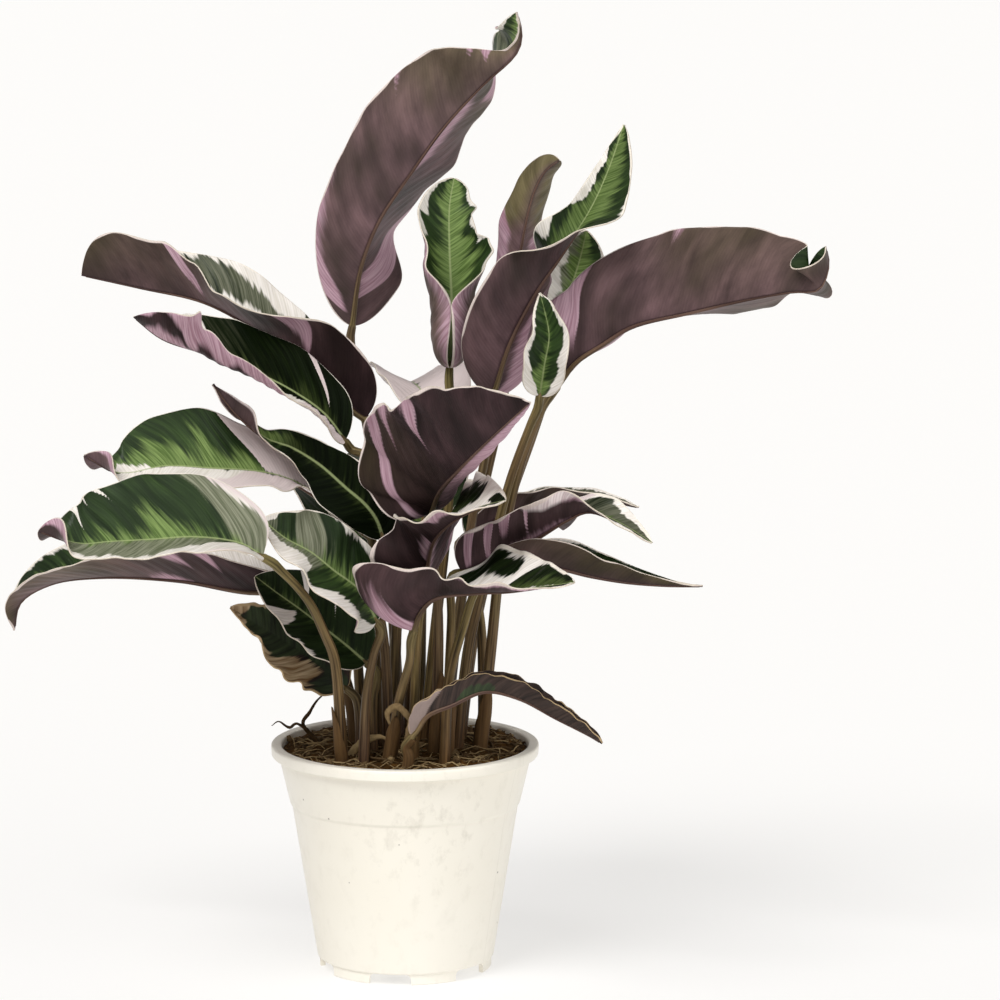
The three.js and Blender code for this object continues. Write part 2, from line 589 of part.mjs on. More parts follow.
function potInnerRadius(height) {
  const z = Math.min(height, POT_HEIGHT - RIM_HEIGHT);
  const [low, high] = z < STEP_HEIGHT
    ? [[FOOT_HEIGHT, BODY_FOOT_RADIUS], [STEP_HEIGHT, STEP_RADIUS - STEP_DEPTH]]
    : [[STEP_HEIGHT, STEP_RADIUS], [POT_HEIGHT - RIM_HEIGHT, UNDER_RIM_RADIUS]];
  return THREE.MathUtils.mapLinear(z, low[0], high[0], low[1], high[1]) - WALL;
}

function pot() {
  const floorTop = FOOT_HEIGHT + FLOOR_THICKNESS;
  const profile = [
    [0, FOOT_HEIGHT],
    [FOOT_RADIUS - FOOT_WALL, FOOT_HEIGHT],
    [FOOT_RADIUS - FOOT_WALL, 0],
    [FOOT_RADIUS - FOOT_CHAMFER, 0],
    [FOOT_RADIUS, FOOT_CHAMFER],
    [FOOT_RADIUS, FOOT_HEIGHT],
    [BODY_FOOT_RADIUS, FOOT_HEIGHT + FOOT_CHAMFER],
    [STEP_RADIUS - STEP_DEPTH, STEP_HEIGHT],
    [STEP_RADIUS, STEP_HEIGHT + STEP_RAMP],
    [UNDER_RIM_RADIUS, POT_HEIGHT - RIM_HEIGHT],
    [RIM_RADIUS - RIM_ROUND, POT_HEIGHT - RIM_HEIGHT],
    [RIM_RADIUS, POT_HEIGHT - RIM_HEIGHT + RIM_ROUND],
    [RIM_RADIUS, POT_HEIGHT - RIM_ROUND],
    [RIM_RADIUS - RIM_ROUND, POT_HEIGHT],
    [UNDER_RIM_RADIUS - WALL + RIM_ROUND, POT_HEIGHT],
    [UNDER_RIM_RADIUS - WALL, POT_HEIGHT - RIM_ROUND],
    [potInnerRadius(POT_HEIGHT - RIM_HEIGHT), POT_HEIGHT - RIM_HEIGHT],
    [potInnerRadius(STEP_HEIGHT + STEP_RAMP), STEP_HEIGHT + STEP_RAMP],
    [potInnerRadius(STEP_HEIGHT - STEP_RAMP), STEP_HEIGHT - STEP_RAMP],
    [potInnerRadius(floorTop), floorTop],
    [0, floorTop],
  ];
  const lathe = new THREE.LatheGeometry(profile.map(([r, z]) => new THREE.Vector2(r, z)), TURN_SEGMENTS);
  lathe.rotateX(Math.PI / 2);
  let solid = toSolid(lathe);
  for (let k = 0; k < NOTCH_COUNT; k += 1) {
    const turn = FRONT_NOTCH_TURN + (2 * Math.PI * k) / NOTCH_COUNT;
    const notchHeight = 2 * FOOT_HEIGHT - FOOT_CHAMFER;
    const notch = new THREE.BoxGeometry(2 * (FOOT_WALL + CUT_OVER), NOTCH_WIDTH, notchHeight);
    notch.translate(FOOT_RADIUS, 0, 0);
    notch.rotateZ(turn);
    const drainLength = FLOOR_THICKNESS + 2 * CUT_OVER;
    const drain = new THREE.CylinderGeometry(DRAIN_RADIUS, DRAIN_RADIUS, drainLength, DRAIN_SIDES);
    drain.rotateX(Math.PI / 2);
    drain.translate(DRAIN_RING_RADIUS, 0, FOOT_HEIGHT + FLOOR_THICKNESS / 2);
    drain.rotateZ(turn);
    solid = solid.subtract(toSolid(notch)).subtract(toSolid(drain));
  }
  return fromSolid(solid);
}

// ---- the soil ----

// A plug that fills the pot to just under its rim, mounded and uneven on top, with a hole for each stem.
function soil() {
  const bottom = FOOT_HEIGHT + FLOOR_THICKNESS + GAP;
  const profile = [
    [0, bottom],
    [potInnerRadius(bottom) - GAP, bottom],
    [potInnerRadius(STEP_HEIGHT - STEP_RAMP) - GAP, STEP_HEIGHT - STEP_RAMP],
    [potInnerRadius(STEP_HEIGHT + STEP_RAMP) - GAP, STEP_HEIGHT + STEP_RAMP],
    [potInnerRadius(POT_HEIGHT - RIM_HEIGHT) - GAP, POT_HEIGHT - RIM_HEIGHT],
    [potInnerRadius(SOIL_TOP - SOIL_BEVEL) - GAP, SOIL_TOP - SOIL_BEVEL],
  ];
  const outer = potInnerRadius(SOIL_TOP - SOIL_BEVEL) - GAP;
  for (let k = 1; k <= SOIL_RINGS; k += 1) {
    const share = 1 - k / SOIL_RINGS;
    profile.push([outer * share, SOIL_TOP + SOIL_MOUND * (1 - share ** 2)]);
  }
  const lathe = new THREE.LatheGeometry(profile.map(([r, z]) => new THREE.Vector2(r, z)), TURN_SEGMENTS);
  const position = lathe.attributes.position;
  for (let k = 0; k < position.count; k += 1) {
    const [x, height, z] = [position.getX(k), position.getY(k), position.getZ(k)];
    const [a, b, c] = SOIL_BUMP_LENGTHS;
    const bump = SOIL_BUMP * (Math.sin(x / a) * Math.cos(z / b) + Math.sin((x + z) / c));
    if (height > SOIL_TOP - SOIL_BEVEL / 2) position.setY(k, height + bump);
  }
  lathe.rotateX(Math.PI / 2);
  let solid = toSolid(lathe);
  for (const leaf of LEAVES) solid = solid.subtract(stemHole(leaf));
  return fromSolid(solid);
}

// ---- the whole plant ----

const plant = new THREE.Group();
plant.add(sub("pot", pot(), MATERIALS.pot));
plant.add(sub("soil", soil(), MATERIALS.soil));
for (const leaf of LEAVES) {
  plant.add(sub(`stem_${leaf.name}`, stem(leaf), MATERIALS.stem));
  plant.add(sub(`leaf_${leaf.name}`, blade(leaf), MATERIALS[leaf.withered ? "withered" : "blade"]));
}

export default plant;
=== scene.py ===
# %% [markdown]
# # A calathea in its nursery pot
# The plant is a clump of long stalks, each with one large, thin, folded blade. Its shape comes from the CAD model,
# which is loaded here as a fixed frame in metres. This file gives each part its living surface: ripples, veins,
# the white and lime marbling, the plum underside, the peat with its coir, and the moulded pot.

# %% Load the frame
import math
import random

import bmesh
import bpy
from mathutils import Euler, Matrix, Vector, noise


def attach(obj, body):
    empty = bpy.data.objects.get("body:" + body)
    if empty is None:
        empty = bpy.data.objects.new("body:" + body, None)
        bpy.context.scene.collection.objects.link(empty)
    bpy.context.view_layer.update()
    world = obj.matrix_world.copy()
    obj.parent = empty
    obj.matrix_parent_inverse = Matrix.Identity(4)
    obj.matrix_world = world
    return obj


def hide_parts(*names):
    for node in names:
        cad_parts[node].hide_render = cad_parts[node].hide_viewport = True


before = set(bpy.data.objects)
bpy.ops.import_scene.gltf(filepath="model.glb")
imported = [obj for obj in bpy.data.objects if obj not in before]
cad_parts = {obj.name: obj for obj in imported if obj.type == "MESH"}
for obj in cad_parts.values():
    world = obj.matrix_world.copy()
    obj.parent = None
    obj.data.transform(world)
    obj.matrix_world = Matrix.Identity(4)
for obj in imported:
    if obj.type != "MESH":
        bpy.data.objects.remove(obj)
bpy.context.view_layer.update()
MM = 0.001
print("nodes in the frame:", len(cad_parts))

# %% [markdown]
# ## The camera
# The view is taken with a long lens from a little above, about two metres away. A long lens keeps the pot's rim a
# flat ellipse. The camera could be placed by eye, but a place and a point to aim at are easier to check.

# %% Place the camera
CAMERA_PLACE = Vector((42.5, -2270, 597)) * MM
CAMERA_AIM = Vector((42.5, 0, 212)) * MM


def add_object(name, data):
    """Add an object with this data to the scene."""
    made = bpy.data.objects.new(name, data)
    bpy.context.collection.objects.link(made)
    return made


camera_data = bpy.data.cameras.new("camera")
camera_data.lens = 186.6
camera_data.sensor_width = 36
camera_data.clip_end = 60
camera = add_object("camera", camera_data)
camera.location = CAMERA_PLACE
camera.rotation_euler = (CAMERA_AIM - CAMERA_PLACE).to_track_quat("-Z", "Y").to_euler()
bpy.context.scene.camera = camera
print("camera pitch:", round(math.degrees(camera.rotation_euler.x) - 90, 2))

# %% [markdown]
# ## Materials: a few helpers
# Colours are picked on screen as sRGB hex codes, but a shader works in linear light, so one function turns them.
# A second one adds a node, sets it and links it, and a third lays colours over each other through masks. Everything
# else about a material is then a list of such calls.

# %% Helpers for materials
def linear(code):
    """A linear colour from an sRGB hex code."""
    parts = [int(code[k : k + 2], 16) / 255 for k in (1, 3, 5)]
    return tuple(p / 12.92 if p <= 0.04045 else ((p + 0.055) / 1.055) ** 2.4 for p in parts) + (1.0,)


def feed(tree, made, inputs):
    """Set or link a node's inputs: each value is a number, a hex code, or another node or one of its outputs."""
    for name, value in inputs.items():
        if isinstance(value, bpy.types.Node):
            value = value.outputs[0]
        if isinstance(value, bpy.types.NodeSocket):
            tree.links.new(value, made.inputs[name])
        else:
            made.inputs[name].default_value = linear(value) if isinstance(value, str) else value


def node(tree, kind, inputs=None, **settings):
    """Add one shader node with its settings, and feed its inputs."""
    made = tree.nodes.new("ShaderNode" + kind)
    for name, value in settings.items():
        setattr(made, name, value)
    feed(tree, made, inputs or {})
    return made


def layered(tree, ground, *layers, **settings):
    """Colours laid over a ground, each given as (mask, colour)."""
    for mask, colour in layers:
        mixed = {0: mask, 6: ground, 7: colour}
        ground = node(tree, "Mix", mixed, data_type="RGBA", **settings).outputs[2]
    return ground


def start_material(name, roughness, ior=1.45, specular=0.5):
    """A new material, its tree and its Principled shader."""
    material = bpy.data.materials.new(name)
    material.use_nodes = True
    tree = material.node_tree
    shader = tree.nodes["Principled BSDF"]
    feed(tree, shader, {"Roughness": roughness, "IOR": ior, "Specular IOR Level": specular})
    return material, tree, shader


# %% [markdown]
# ## Floor and light
# The plant stands on a sheet of white acrylic in a white studio. Lamps near it would leave the far floor grey, so
# the light is a white surround and two broad, far-off sources, which are soft and light the floor evenly. The sheet
# is lit from below as well, as a product table is, which keeps the shadows on it faint.

# %% Make the floor and the light
def mesh_of(name, bm):
    """A mesh from a bmesh, which is used up."""
    data = bpy.data.meshes.new(name)
    bm.to_mesh(data)
    bm.free()
    return data


floor_mesh = bmesh.new()
bmesh.ops.create_grid(floor_mesh, x_segments=8, y_segments=8, size=14)
floor = add_object("floor", mesh_of("floor", floor_mesh))
floor_paint, tree, shader = start_material("floor, backlit white acrylic", 0.9)
grain = node(tree, "TexNoise", {"Scale": 3.0, "Detail": 2.0})
colour = layered(tree, "#a3a2a1", (grain, "#9e9d9c"))
feed(tree, shader, {"Base Color": colour, "Emission Color": "#fffefc", "Emission Strength": 0.6})
floor.data.materials.append(floor_paint)

world = bpy.data.worlds.new("studio")
world.use_nodes = True
feed(world.node_tree, world.node_tree.nodes["Background"], {"Color": "#fffdfa", "Strength": 0.34})
bpy.context.scene.world = world
bpy.context.scene.view_settings.view_transform = "Standard"

# name, where it shines from, strength, how broad it looks (degrees)
LAMPS = [
    ("key_light", (-0.5, -0.7, 1.15), 2.3, 30),
    ("fill_light", (0.9, -0.9, 0.6), 0.9, 60),
]
for name, place, strength, breadth in LAMPS:
    lamp = bpy.data.lights.new(name, "SUN")
    lamp.energy, lamp.angle = strength, math.radians(breadth)
    holder = add_object(name, lamp)
    holder.location = place
    holder.rotation_euler = (-Vector(place)).to_track_quat("-Z", "Y").to_euler()
print("lamps:", [lamp[0] for lamp in LAMPS])

# %% [markdown]
# ## The leaves' driving values
# One entry for each leaf, in millimetres, the same as in the CAD source. `rib` runs along the midrib from the stalk
# to the tip. `half` is half of the widest width, `round` and `sharp` shape the two ends, and `face` says which way
# the upper side looks. `left` and `right` hold the angle at the midrib, the further bend out to the edge and the
# share of the width, each at its place from base to tip. `foot` and `stem` place the stalk, and `wave` is the height
# and the number of the edge's big waves. Where a leaf says nothing, it has the usual value.

# %% The leaves
USUAL_BEND = [[0, 25, 10], [1, 20, 10]]
USUAL_LEAF = dict(round=0.5, wave=[1, 4], face=[[0, [0, 0, 1]]], left=USUAL_BEND, right=USUAL_BEND)
LEAVES = [
    dict(name="top", half=35, sharp=0.72, wave=[1.2, 5], foot=[-3, 14],
         stem=[[-4, 20, 126], [-7, 30, 170], [-13, 40, 214], [-20, 44, 250]],
         rib=[[-24, 45, 284], [-20, 43, 310], [-12, 40, 331], [3, 36, 354], [18, 32, 375], [35, 27, 394],
           [50, 22, 409], [52, 20, 417], [50, 19, 427]],
         face=[[0, [0, 1, 0]], [0.7, [0, 1, 0]], [0.86, [-0.8, 0.5, 0.2]], [1, [-0.9, -0.3, 0.3]]],
         left=[[0, 40, 0, 1], [0.1, 40, 0, 1], [0.25, 72, 5, 1], [0.5, 66, 0, 1], [0.7, 68, 5, 0.9],
           [0.85, 60, 5, 1.2], [1, 40, 0, 1.9]],
         right=[[0, 10, 10, 0.7], [0.3, 5, 15, 0.85], [0.55, 5, 10, 1], [0.75, 5, 0, 1.05], [0.88, 70, 0, 0.3],
           [1, 70, 0, 0.1]]),
    dict(name="upper_left", half=27, round=0.4, sharp=0.36, wave=[1.2, 4], foot=[-12, 9],
         stem=[[-3, 12, 164], [-7, 14, 203], [-13, 12, 234]],
         rib=[[-18, 8, 247], [-33, 4, 262], [-47, 2, 274], [-65, 2, 288], [-88, 4, 300], [-117, 8, 306],
           [-143, 12, 311]], face=[[0, [0.6, 0.3, 1]], [0.35, [0.2, 0, 1]], [1, [0, 0, 1]]],
         left=[[0, 75, 10, 1.15], [0.25, 70, 0, 1], [0.5, 22, 0, 0.75], [0.58, 28, 0, 0.75], [0.66, 52, 0, 0.85],
           [0.76, 62, 3, 1.08], [1, 70, 0, 1.5]],
         right=[[0, 30, 10, 1], [0.3, 38, 10, 0.9], [0.55, 48, 10, 0.9], [0.75, 45, 10, 0.9], [1, 40, 0, 1]]),
    dict(name="left_high", half=25, sharp=0.6, foot=[-6, 1],
         stem=[[-3, -8, 168], [-2, -10, 196], [-8, -12, 223], [-17, -11, 234]],
         rib=[[-26, -9, 240], [-35, -15, 253], [-50, -22, 265], [-68, -29, 275], [-86, -36, 283], [-104, -42, 290],
           [-116, -46, 300]], face=[[0, [0, -0.6, 0.8]]],
         left=[[0, 15, 20, 0.8], [0.4, 5, 60, 0.7], [0.62, 0, 110, 0.75], [0.75, 30, 80, 1.1], [0.85, 52, 45, 2.1],
           [1, 60, 30, 3.3]],
         right=[[0, 10, 10, 1], [0.5, 0, 10, 1], [0.75, 0, 10, 1], [0.9, 0, 10, 0.6], [1, 0, 10, 0.3]]),
    dict(name="left_mid", half=27, sharp=0.7, foot=[-7, -12], stem=[[-9, -14, 151], [-15, -11, 185]],
         rib=[[-19, -10, 200], [-35, -10, 213], [-50, -18, 224], [-64, -26, 229], [-84, -36, 232], [-103, -42, 234],
           [-123, -48, 232], [-138, -50, 240]],
         face=[[0, [0, -0.5, 0.87]], [0.85, [0, -0.5, 0.87]], [1, [0, 1, 0.3]]],
         left=[[0, 20, 10, 0.45], [0.27, 20, 10, 0.38], [0.42, 15, 10, 1], [1, 10, 10, 1]],
         right=[[0, 30, 10, 0.45], [0.35, 28, 10, 0.7], [0.65, 28, 10, 1.15], [1, 20, 10, 1]]),
    dict(name="left_inner", half=16, sharp=1, foot=[-13, -3], stem=[[-12, -4, 149], [-9, -9, 172], [-8, -15, 188]],
         rib=[[-9, -19, 198], [-12, -21, 207], [-17, -22, 214], [-25, -22, 221], [-37, -21, 231.5], [-49, -22, 239],
           [-60, -25, 243.5], [-73, -28, 255], [-83, -28, 268]],
         face=[[0, [0, -1, 0.15]], [0.45, [0, -1, 0.15]], [0.7, [0.7, -0.3, 0.5]], [0.85, [0.5, 0.6, 0.3]],
           [1, [0, 1, 0]]],
         left=[[0, 10, 10, 0.9], [0.3, 10, 10, 0.85], [0.45, 10, 10, 0.6], [0.6, 10, 10, 0.35], [0.85, 20, 10, 1.2],
           [1, 20, 10, 1.2]],
         right=[[0, 10, 10, 0.9], [0.3, 10, 10, 0.85], [0.45, 10, 10, 0.6], [0.6, 10, 5, 0.55], [0.75, 10, 0, 0.5],
           [1, 10, 0, 0.7]]),
    dict(name="left_low", half=30, sharp=0.65, foot=[-27, -30],
         stem=[[-30, -42, 148], [-34, -49, 161], [-40, -57, 176], [-46, -62, 185], [-53, -66, 193]],
         rib=[[-60, -70, 199], [-69, -73, 205], [-88, -79, 209], [-107, -85, 209], [-124, -90, 209], [-137, -94, 209],
           [-154, -98, 215]], face=[[0, [0, -0.5, 0.87]], [0.85, [0, -0.5, 0.87]], [1, [0, 1, 0.3]]],
         left=[[0, 30, 0], [1, 20, 0]], right=[[0, 30, 10], [1, 25, 10]]),
    dict(name="left_trailing", half=24, sharp=0.8, foot=[-22, 3], stem=[[-24, 2, 121], [-33, 3, 148], [-41, 3, 164]],
         rib=[[-50, 2, 172], [-69, 10, 169], [-102, 26, 171], [-139, 44, 169], [-163, 58, 163], [-178, 68, 152],
           [-181, 72, 139]], face=[[0, [0, 0, 1]], [1, [-1, 0, 0.3]]], left=[[0, 50, 10]], right=[[0, 30, 10]]),
    dict(name="left_front", half=24, sharp=0.7, foot=[-18, -33], stem=[[-16, -31, 132], [-13, -30, 148]],
         rib=[[-12, -30, 163], [-19, -38, 178], [-30, -44, 188], [-40, -48, 197], [-51, -52, 204], [-61, -56, 213]],
         face=[[0, [0, -0.7, 0.7]]], left=[[0, 20, 10]], right=[[0, 20, 10, 0.5], [0.4, 20, 10, 0.8], [1, 20, 10, 1]]),
    dict(name="left_shade", half=20, sharp=0.7, foot=[-14, -17], stem=[[-14, -16, 124]],
         rib=[[-17, -14, 141], [-26, -14, 149], [-36, -14, 157], [-46, -14, 165], [-57, -14, 173], [-66, -14, 180]],
         face=[[0, [0, -0.7, 0.7]]], left=[[0, 20, 10]], right=[[0, 20, 10]]),
    dict(name="withered", withered=True, half=16, sharp=0.7, foot=[-20, -11], stem=[[-20, -12, 112]],
         rib=[[-26, -12, 129], [-37, -11, 139], [-48, -11, 147], [-59, -12, 154], [-70, -13, 161], [-77, -14, 166]],
         face=[[0, [0, -0.7, 0.7]]], left=[[0, -10, 40, 1.2], [0.5, -10, 60, 1.3], [1, 20, 40, 1]],
         right=[[0, 20, 10]]),
    dict(name="centre", half=44, sharp=0.7, wave=[1.5, 6], foot=[13, -20],
         stem=[[15, -22, 135], [15, -26, 172], [12, -31, 199]],
         rib=[[12, -34, 212], [16, -54, 225], [24, -78, 238], [33, -98, 250], [44, -115, 263], [55, -128, 275]],
         face=[[0, [-0.25, 0.38, 0.89]]], left=[[0, -30, 90, 0.5], [0.3, -30, 150, 0.5], [1, -30, 130, 0.5]],
         right=[[0, -20, 20, 1.3], [0.06, 20, 15, 1.3], [0.15, 50, 10, 1.2], [0.3, 55, 10, 1.05], [0.47, 52, 5, 0.86],
           [0.7, 50, 5, 0.95], [1, 50, 0, 1]]),
    dict(name="front_cup", half=26, round=0.42, sharp=0.7, wave=[1.5, 6], foot=[4, -27],
         stem=[[5, -30, 132], [7, -37, 165]],
         rib=[[9, -42, 179], [11, -52, 193], [14, -62, 205], [22, -73, 215], [34, -84, 223], [45, -90, 227]],
         face=[[0, [-0.25, 0.38, 0.89]], [0.5, [-0.2, 0.3, 0.9]], [1, [0, 0, 1]]],
         left=[[0, 40, 10, 1.3], [1, 35, 5, 1.3]],
         right=[[0, 10, 20, 1.4], [0.15, 25, 15, 1.15], [0.3, 55, 10, 0.8], [0.6, 10, 0, 0.8], [1, -10, 0, 0.8]]),
    dict(name="front_low", half=28, round=0.4, sharp=0.7, wave=[1.5, 6], foot=[-7, -30],
         stem=[[-2, -36, 128], [3, -43, 148]],
         rib=[[5, -50, 163], [7, -55, 171], [14, -64, 180], [32, -79, 185], [47, -92, 188], [62, -103, 192],
           [74, -110, 195]], face=[[0, [-0.17, 0.16, 0.97]], [1, [0, 0, 1]]],
         left=[[0, 30, 10, 0.35], [0.3, 30, 10, 0.4], [0.5, 35, 10, 1], [1, 25, 5, 1]],
         right=[[0, 0, 95, 1.7], [0.12, 5, 90, 1.6], [0.3, 0, 80, 0.85], [0.6, 10, 20, 0.7], [1, -10, 10, 0.7]]),
    dict(name="young", half=27, round=0.45, sharp=0.6, wave=[1, 3], foot=[8, 4],
         stem=[[14, 6, 156], [19, 10, 201], [21, 14, 246]],
         rib=[[20, 17, 269], [21, 21, 294], [20, 27, 320], [20, 31, 340], [22, 33, 352]], face=[[0, [0, -1, 0]]],
         left=[[0, 0, 170, 1.3], [0.3, 5, 170, 1.15], [0.55, 20, 90, 1], [1, 20, 20, 1]],
         right=[[0, 0, 170, 1.4], [0.3, 5, 170, 1.2], [0.5, 10, 80, 1], [0.8, 10, 20, 1], [1, 10, 20, 1]]),
    dict(name="spear", half=16, round=0.4, sharp=0.5, wave=[1, 3], foot=[17, 15],
         stem=[[25, 18, 163], [34, 20, 208], [44, 24, 253]],
         rib=[[48, 28, 284], [50, 30, 306], [53, 33, 326], [58, 35, 346], [63, 35, 355], [69, 33, 360]],
         face=[[0, [0, 1, 0]]], left=[[0, 50, 20]], right=[[0, 45, 10], [1, 45, 0]]),
    dict(name="twisted", half=26, sharp=0.75, foot=[15, -4], stem=[[24, -4, 158], [30, -3, 203], [37, -2, 239]],
         rib=[[39, -2, 259], [46, -5, 282], [58, -8, 306], [69, -8, 322], [81, -6, 340], [90, -3, 359], [97, 0, 379]],
         face=[[0, [-0.6, 0.7, 0.3]], [0.42, [-0.8, 0.3, 0.45]], [0.6, [-0.75, -0.5, 0.3]], [0.8, [-0.6, -0.8, 0.2]],
           [1, [-0.6, -0.8, 0.2]]],
         left=[[0, -10, 5, 1], [0.4, 0, 10, 1], [0.55, 30, 10, 0.75], [0.7, 40, 10, 0.45], [1, 20, 0, 0.4]],
         right=[[0, 45, 10, 1], [0.4, 50, 10, 0.9], [0.55, 40, 10, 0.5], [0.75, 10, 0, 1.1], [1, 10, 0, 1.1]]),
    dict(name="back_pale", half=24, sharp=0.7, foot=[6, 20], stem=[[8, 22, 181], [11, 23, 217]],
         rib=[[14, 24, 240], [9, 48, 250], [4, 72, 253], [0, 98, 250], [-3, 118, 242]]),
    dict(name="small", half=12.5, sharp=0.9, wave=[0.6, 3], foot=[23, -9],
         stem=[[29, -10, 150], [38, -11, 187], [47, -12, 223], [56, -13, 248]],
         rib=[[60, -14, 261], [62, -17, 275], [64, -18, 288], [62, -16, 299], [60, -12, 306]],
         face=[[0, [0, -1, 0.2]]], left=[[0, 35, 10]], right=[[0, 35, 10]]),
    dict(name="right_inner", half=20, round=0.45, sharp=0.6, wave=[0.6, 3], foot=[24, 14],
         stem=[[32, 15, 155], [44, 19, 200], [58, 21, 240]],
         rib=[[69, 22, 276], [72, 25, 289], [74, 27, 302], [78, 26, 316], [81, 20, 330]], face=[[0, [0, -1, 0.2]]],
         left=[[0, 15, 10]], right=[[0, 20, 20], [0.3, 20, 60], [1, 20, 20]]),
    dict(name="right_wing", half=37, sharp=0.6, wave=[1.2, 5], foot=[33, -6],
         stem=[[38, -7, 141], [44, -7, 195], [52, -6, 230], [62, -2, 255]],
         rib=[[68, 0, 263], [76, -3, 274], [87, -7, 282], [100, -13, 291], [125, -26, 299], [148, -38, 306],
           [168, -48, 311], [180, -53, 313], [184, -52, 323], [183, -48, 331]],
         face=[[0, [0, 1, 0]], [0.85, [0, 1, 0]], [1, [-1, 0, 0]]],
         left=[[0, 80, 0, 1], [0.4, 80, 0, 1], [0.6, 72, 0, 1], [0.74, 84, 0, 0.9], [1, 60, 0, 1]],
         right=[[0, 10, 10, 1.5], [0.08, 10, 10, 1.2], [0.2, 10, 10, 0.97], [0.5, 5, 10, 1], [0.7, 5, 5, 0.97],
           [0.85, 5, 0, 0.85], [1, 10, 0, 0.6]]),
    dict(name="right_mid", half=20, round=0.45, sharp=0.75, wave=[1, 5], foot=[19, -23],
         stem=[[20, -23, 135], [21, -21, 162]],
         rib=[[26, -24, 184], [42, -34, 193], [57, -45, 202], [71, -54, 212], [81, -60, 217], [94, -66, 213],
           [108, -70, 205]], face=[[0, [0, 0.2, 1]], [1, [0, 0, 1]]],
         left=[[0, 35, 10, 0.6], [0.4, 35, 10, 0.7], [1, 30, 10, 0.9]],
         right=[[0, 50, 10, 1.2], [0.3, 50, 10, 0.8], [0.6, 50, 10, 0.8], [0.85, 10, 0, 0.7], [1, 0, 0, 1]]),
    dict(name="right_sliver", half=10, sharp=0.8, wave=[0.8, 4], foot=[35, 5], stem=[[35, 6, 124], [33, 7, 161]],
         rib=[[29, 8, 194], [42, 6, 203], [60, 2, 209], [78, -2, 212], [91, -5, 212], [104, -8, 210]],
         left=[[0, 45, 10], [1, 30, 10]], right=[[0, 60, 10], [1, 40, 0]]),
    dict(name="right_folded", half=14, sharp=1.3, wave=[0.8, 5], foot=[18, -34],
         stem=[[20, -34, 137], [26, -34, 160]],
         rib=[[38, -42, 183], [51, -50, 189], [66, -57, 192], [82, -61, 189], [97, -65, 187], [114, -68, 186],
           [130, -70, 186]], left=[[0, 70, 10, 0.7], [0.5, 65, 10, 1], [1, 60, 10, 1]],
         right=[[0, 70, 10], [1, 60, 0]]),
    dict(name="drooping", withered=True, half=9, sharp=0.6, wave=[0.8, 4], foot=[1, -42], stem=[[2, -42, 105]],
         rib=[[4, -43, 114], [10, -45, 124], [21, -46, 129], [36, -46, 135], [51, -48, 132], [67, -52, 124],
           [82, -57, 117], [87, -58, 114]], face=[[0, [-1, 0, 0.3]], [0.3, [0, 0, 1]], [1, [0.5, 0, 1]]],
         left=[[0, 75, 10], [1, 60, 10]], right=[[0, 75, 10], [1, 60, 0]]),
    dict(name="back_left", half=27, sharp=0.7, wave=[1.2, 4], foot=[-19, 21], stem=[[-22, 27, 140]],
         rib=[[-24, 34, 179], [-32, 58, 199], [-38, 84, 206], [-44, 110, 206], [-49, 130, 199]]),
    dict(name="back", half=25, sharp=0.7, wave=[1.2, 4], foot=[0, 30], stem=[[3, 34, 140]],
         rib=[[6, 40, 186], [10, 60, 210], [14, 84, 226], [18, 108, 230], [21, 128, 224]]),
    dict(name="back_right", half=24, sharp=0.7, wave=[1.2, 4], foot=[22, 30], stem=[[29, 31, 140]],
         rib=[[36, 36, 180], [46, 54, 192], [56, 78, 193], [65, 99, 187], [72, 117, 178]]),
]
for leaf in LEAVES:
    for key, value in USUAL_LEAF.items():
        leaf.setdefault(key, value)
print("leaves:", len(LEAVES))
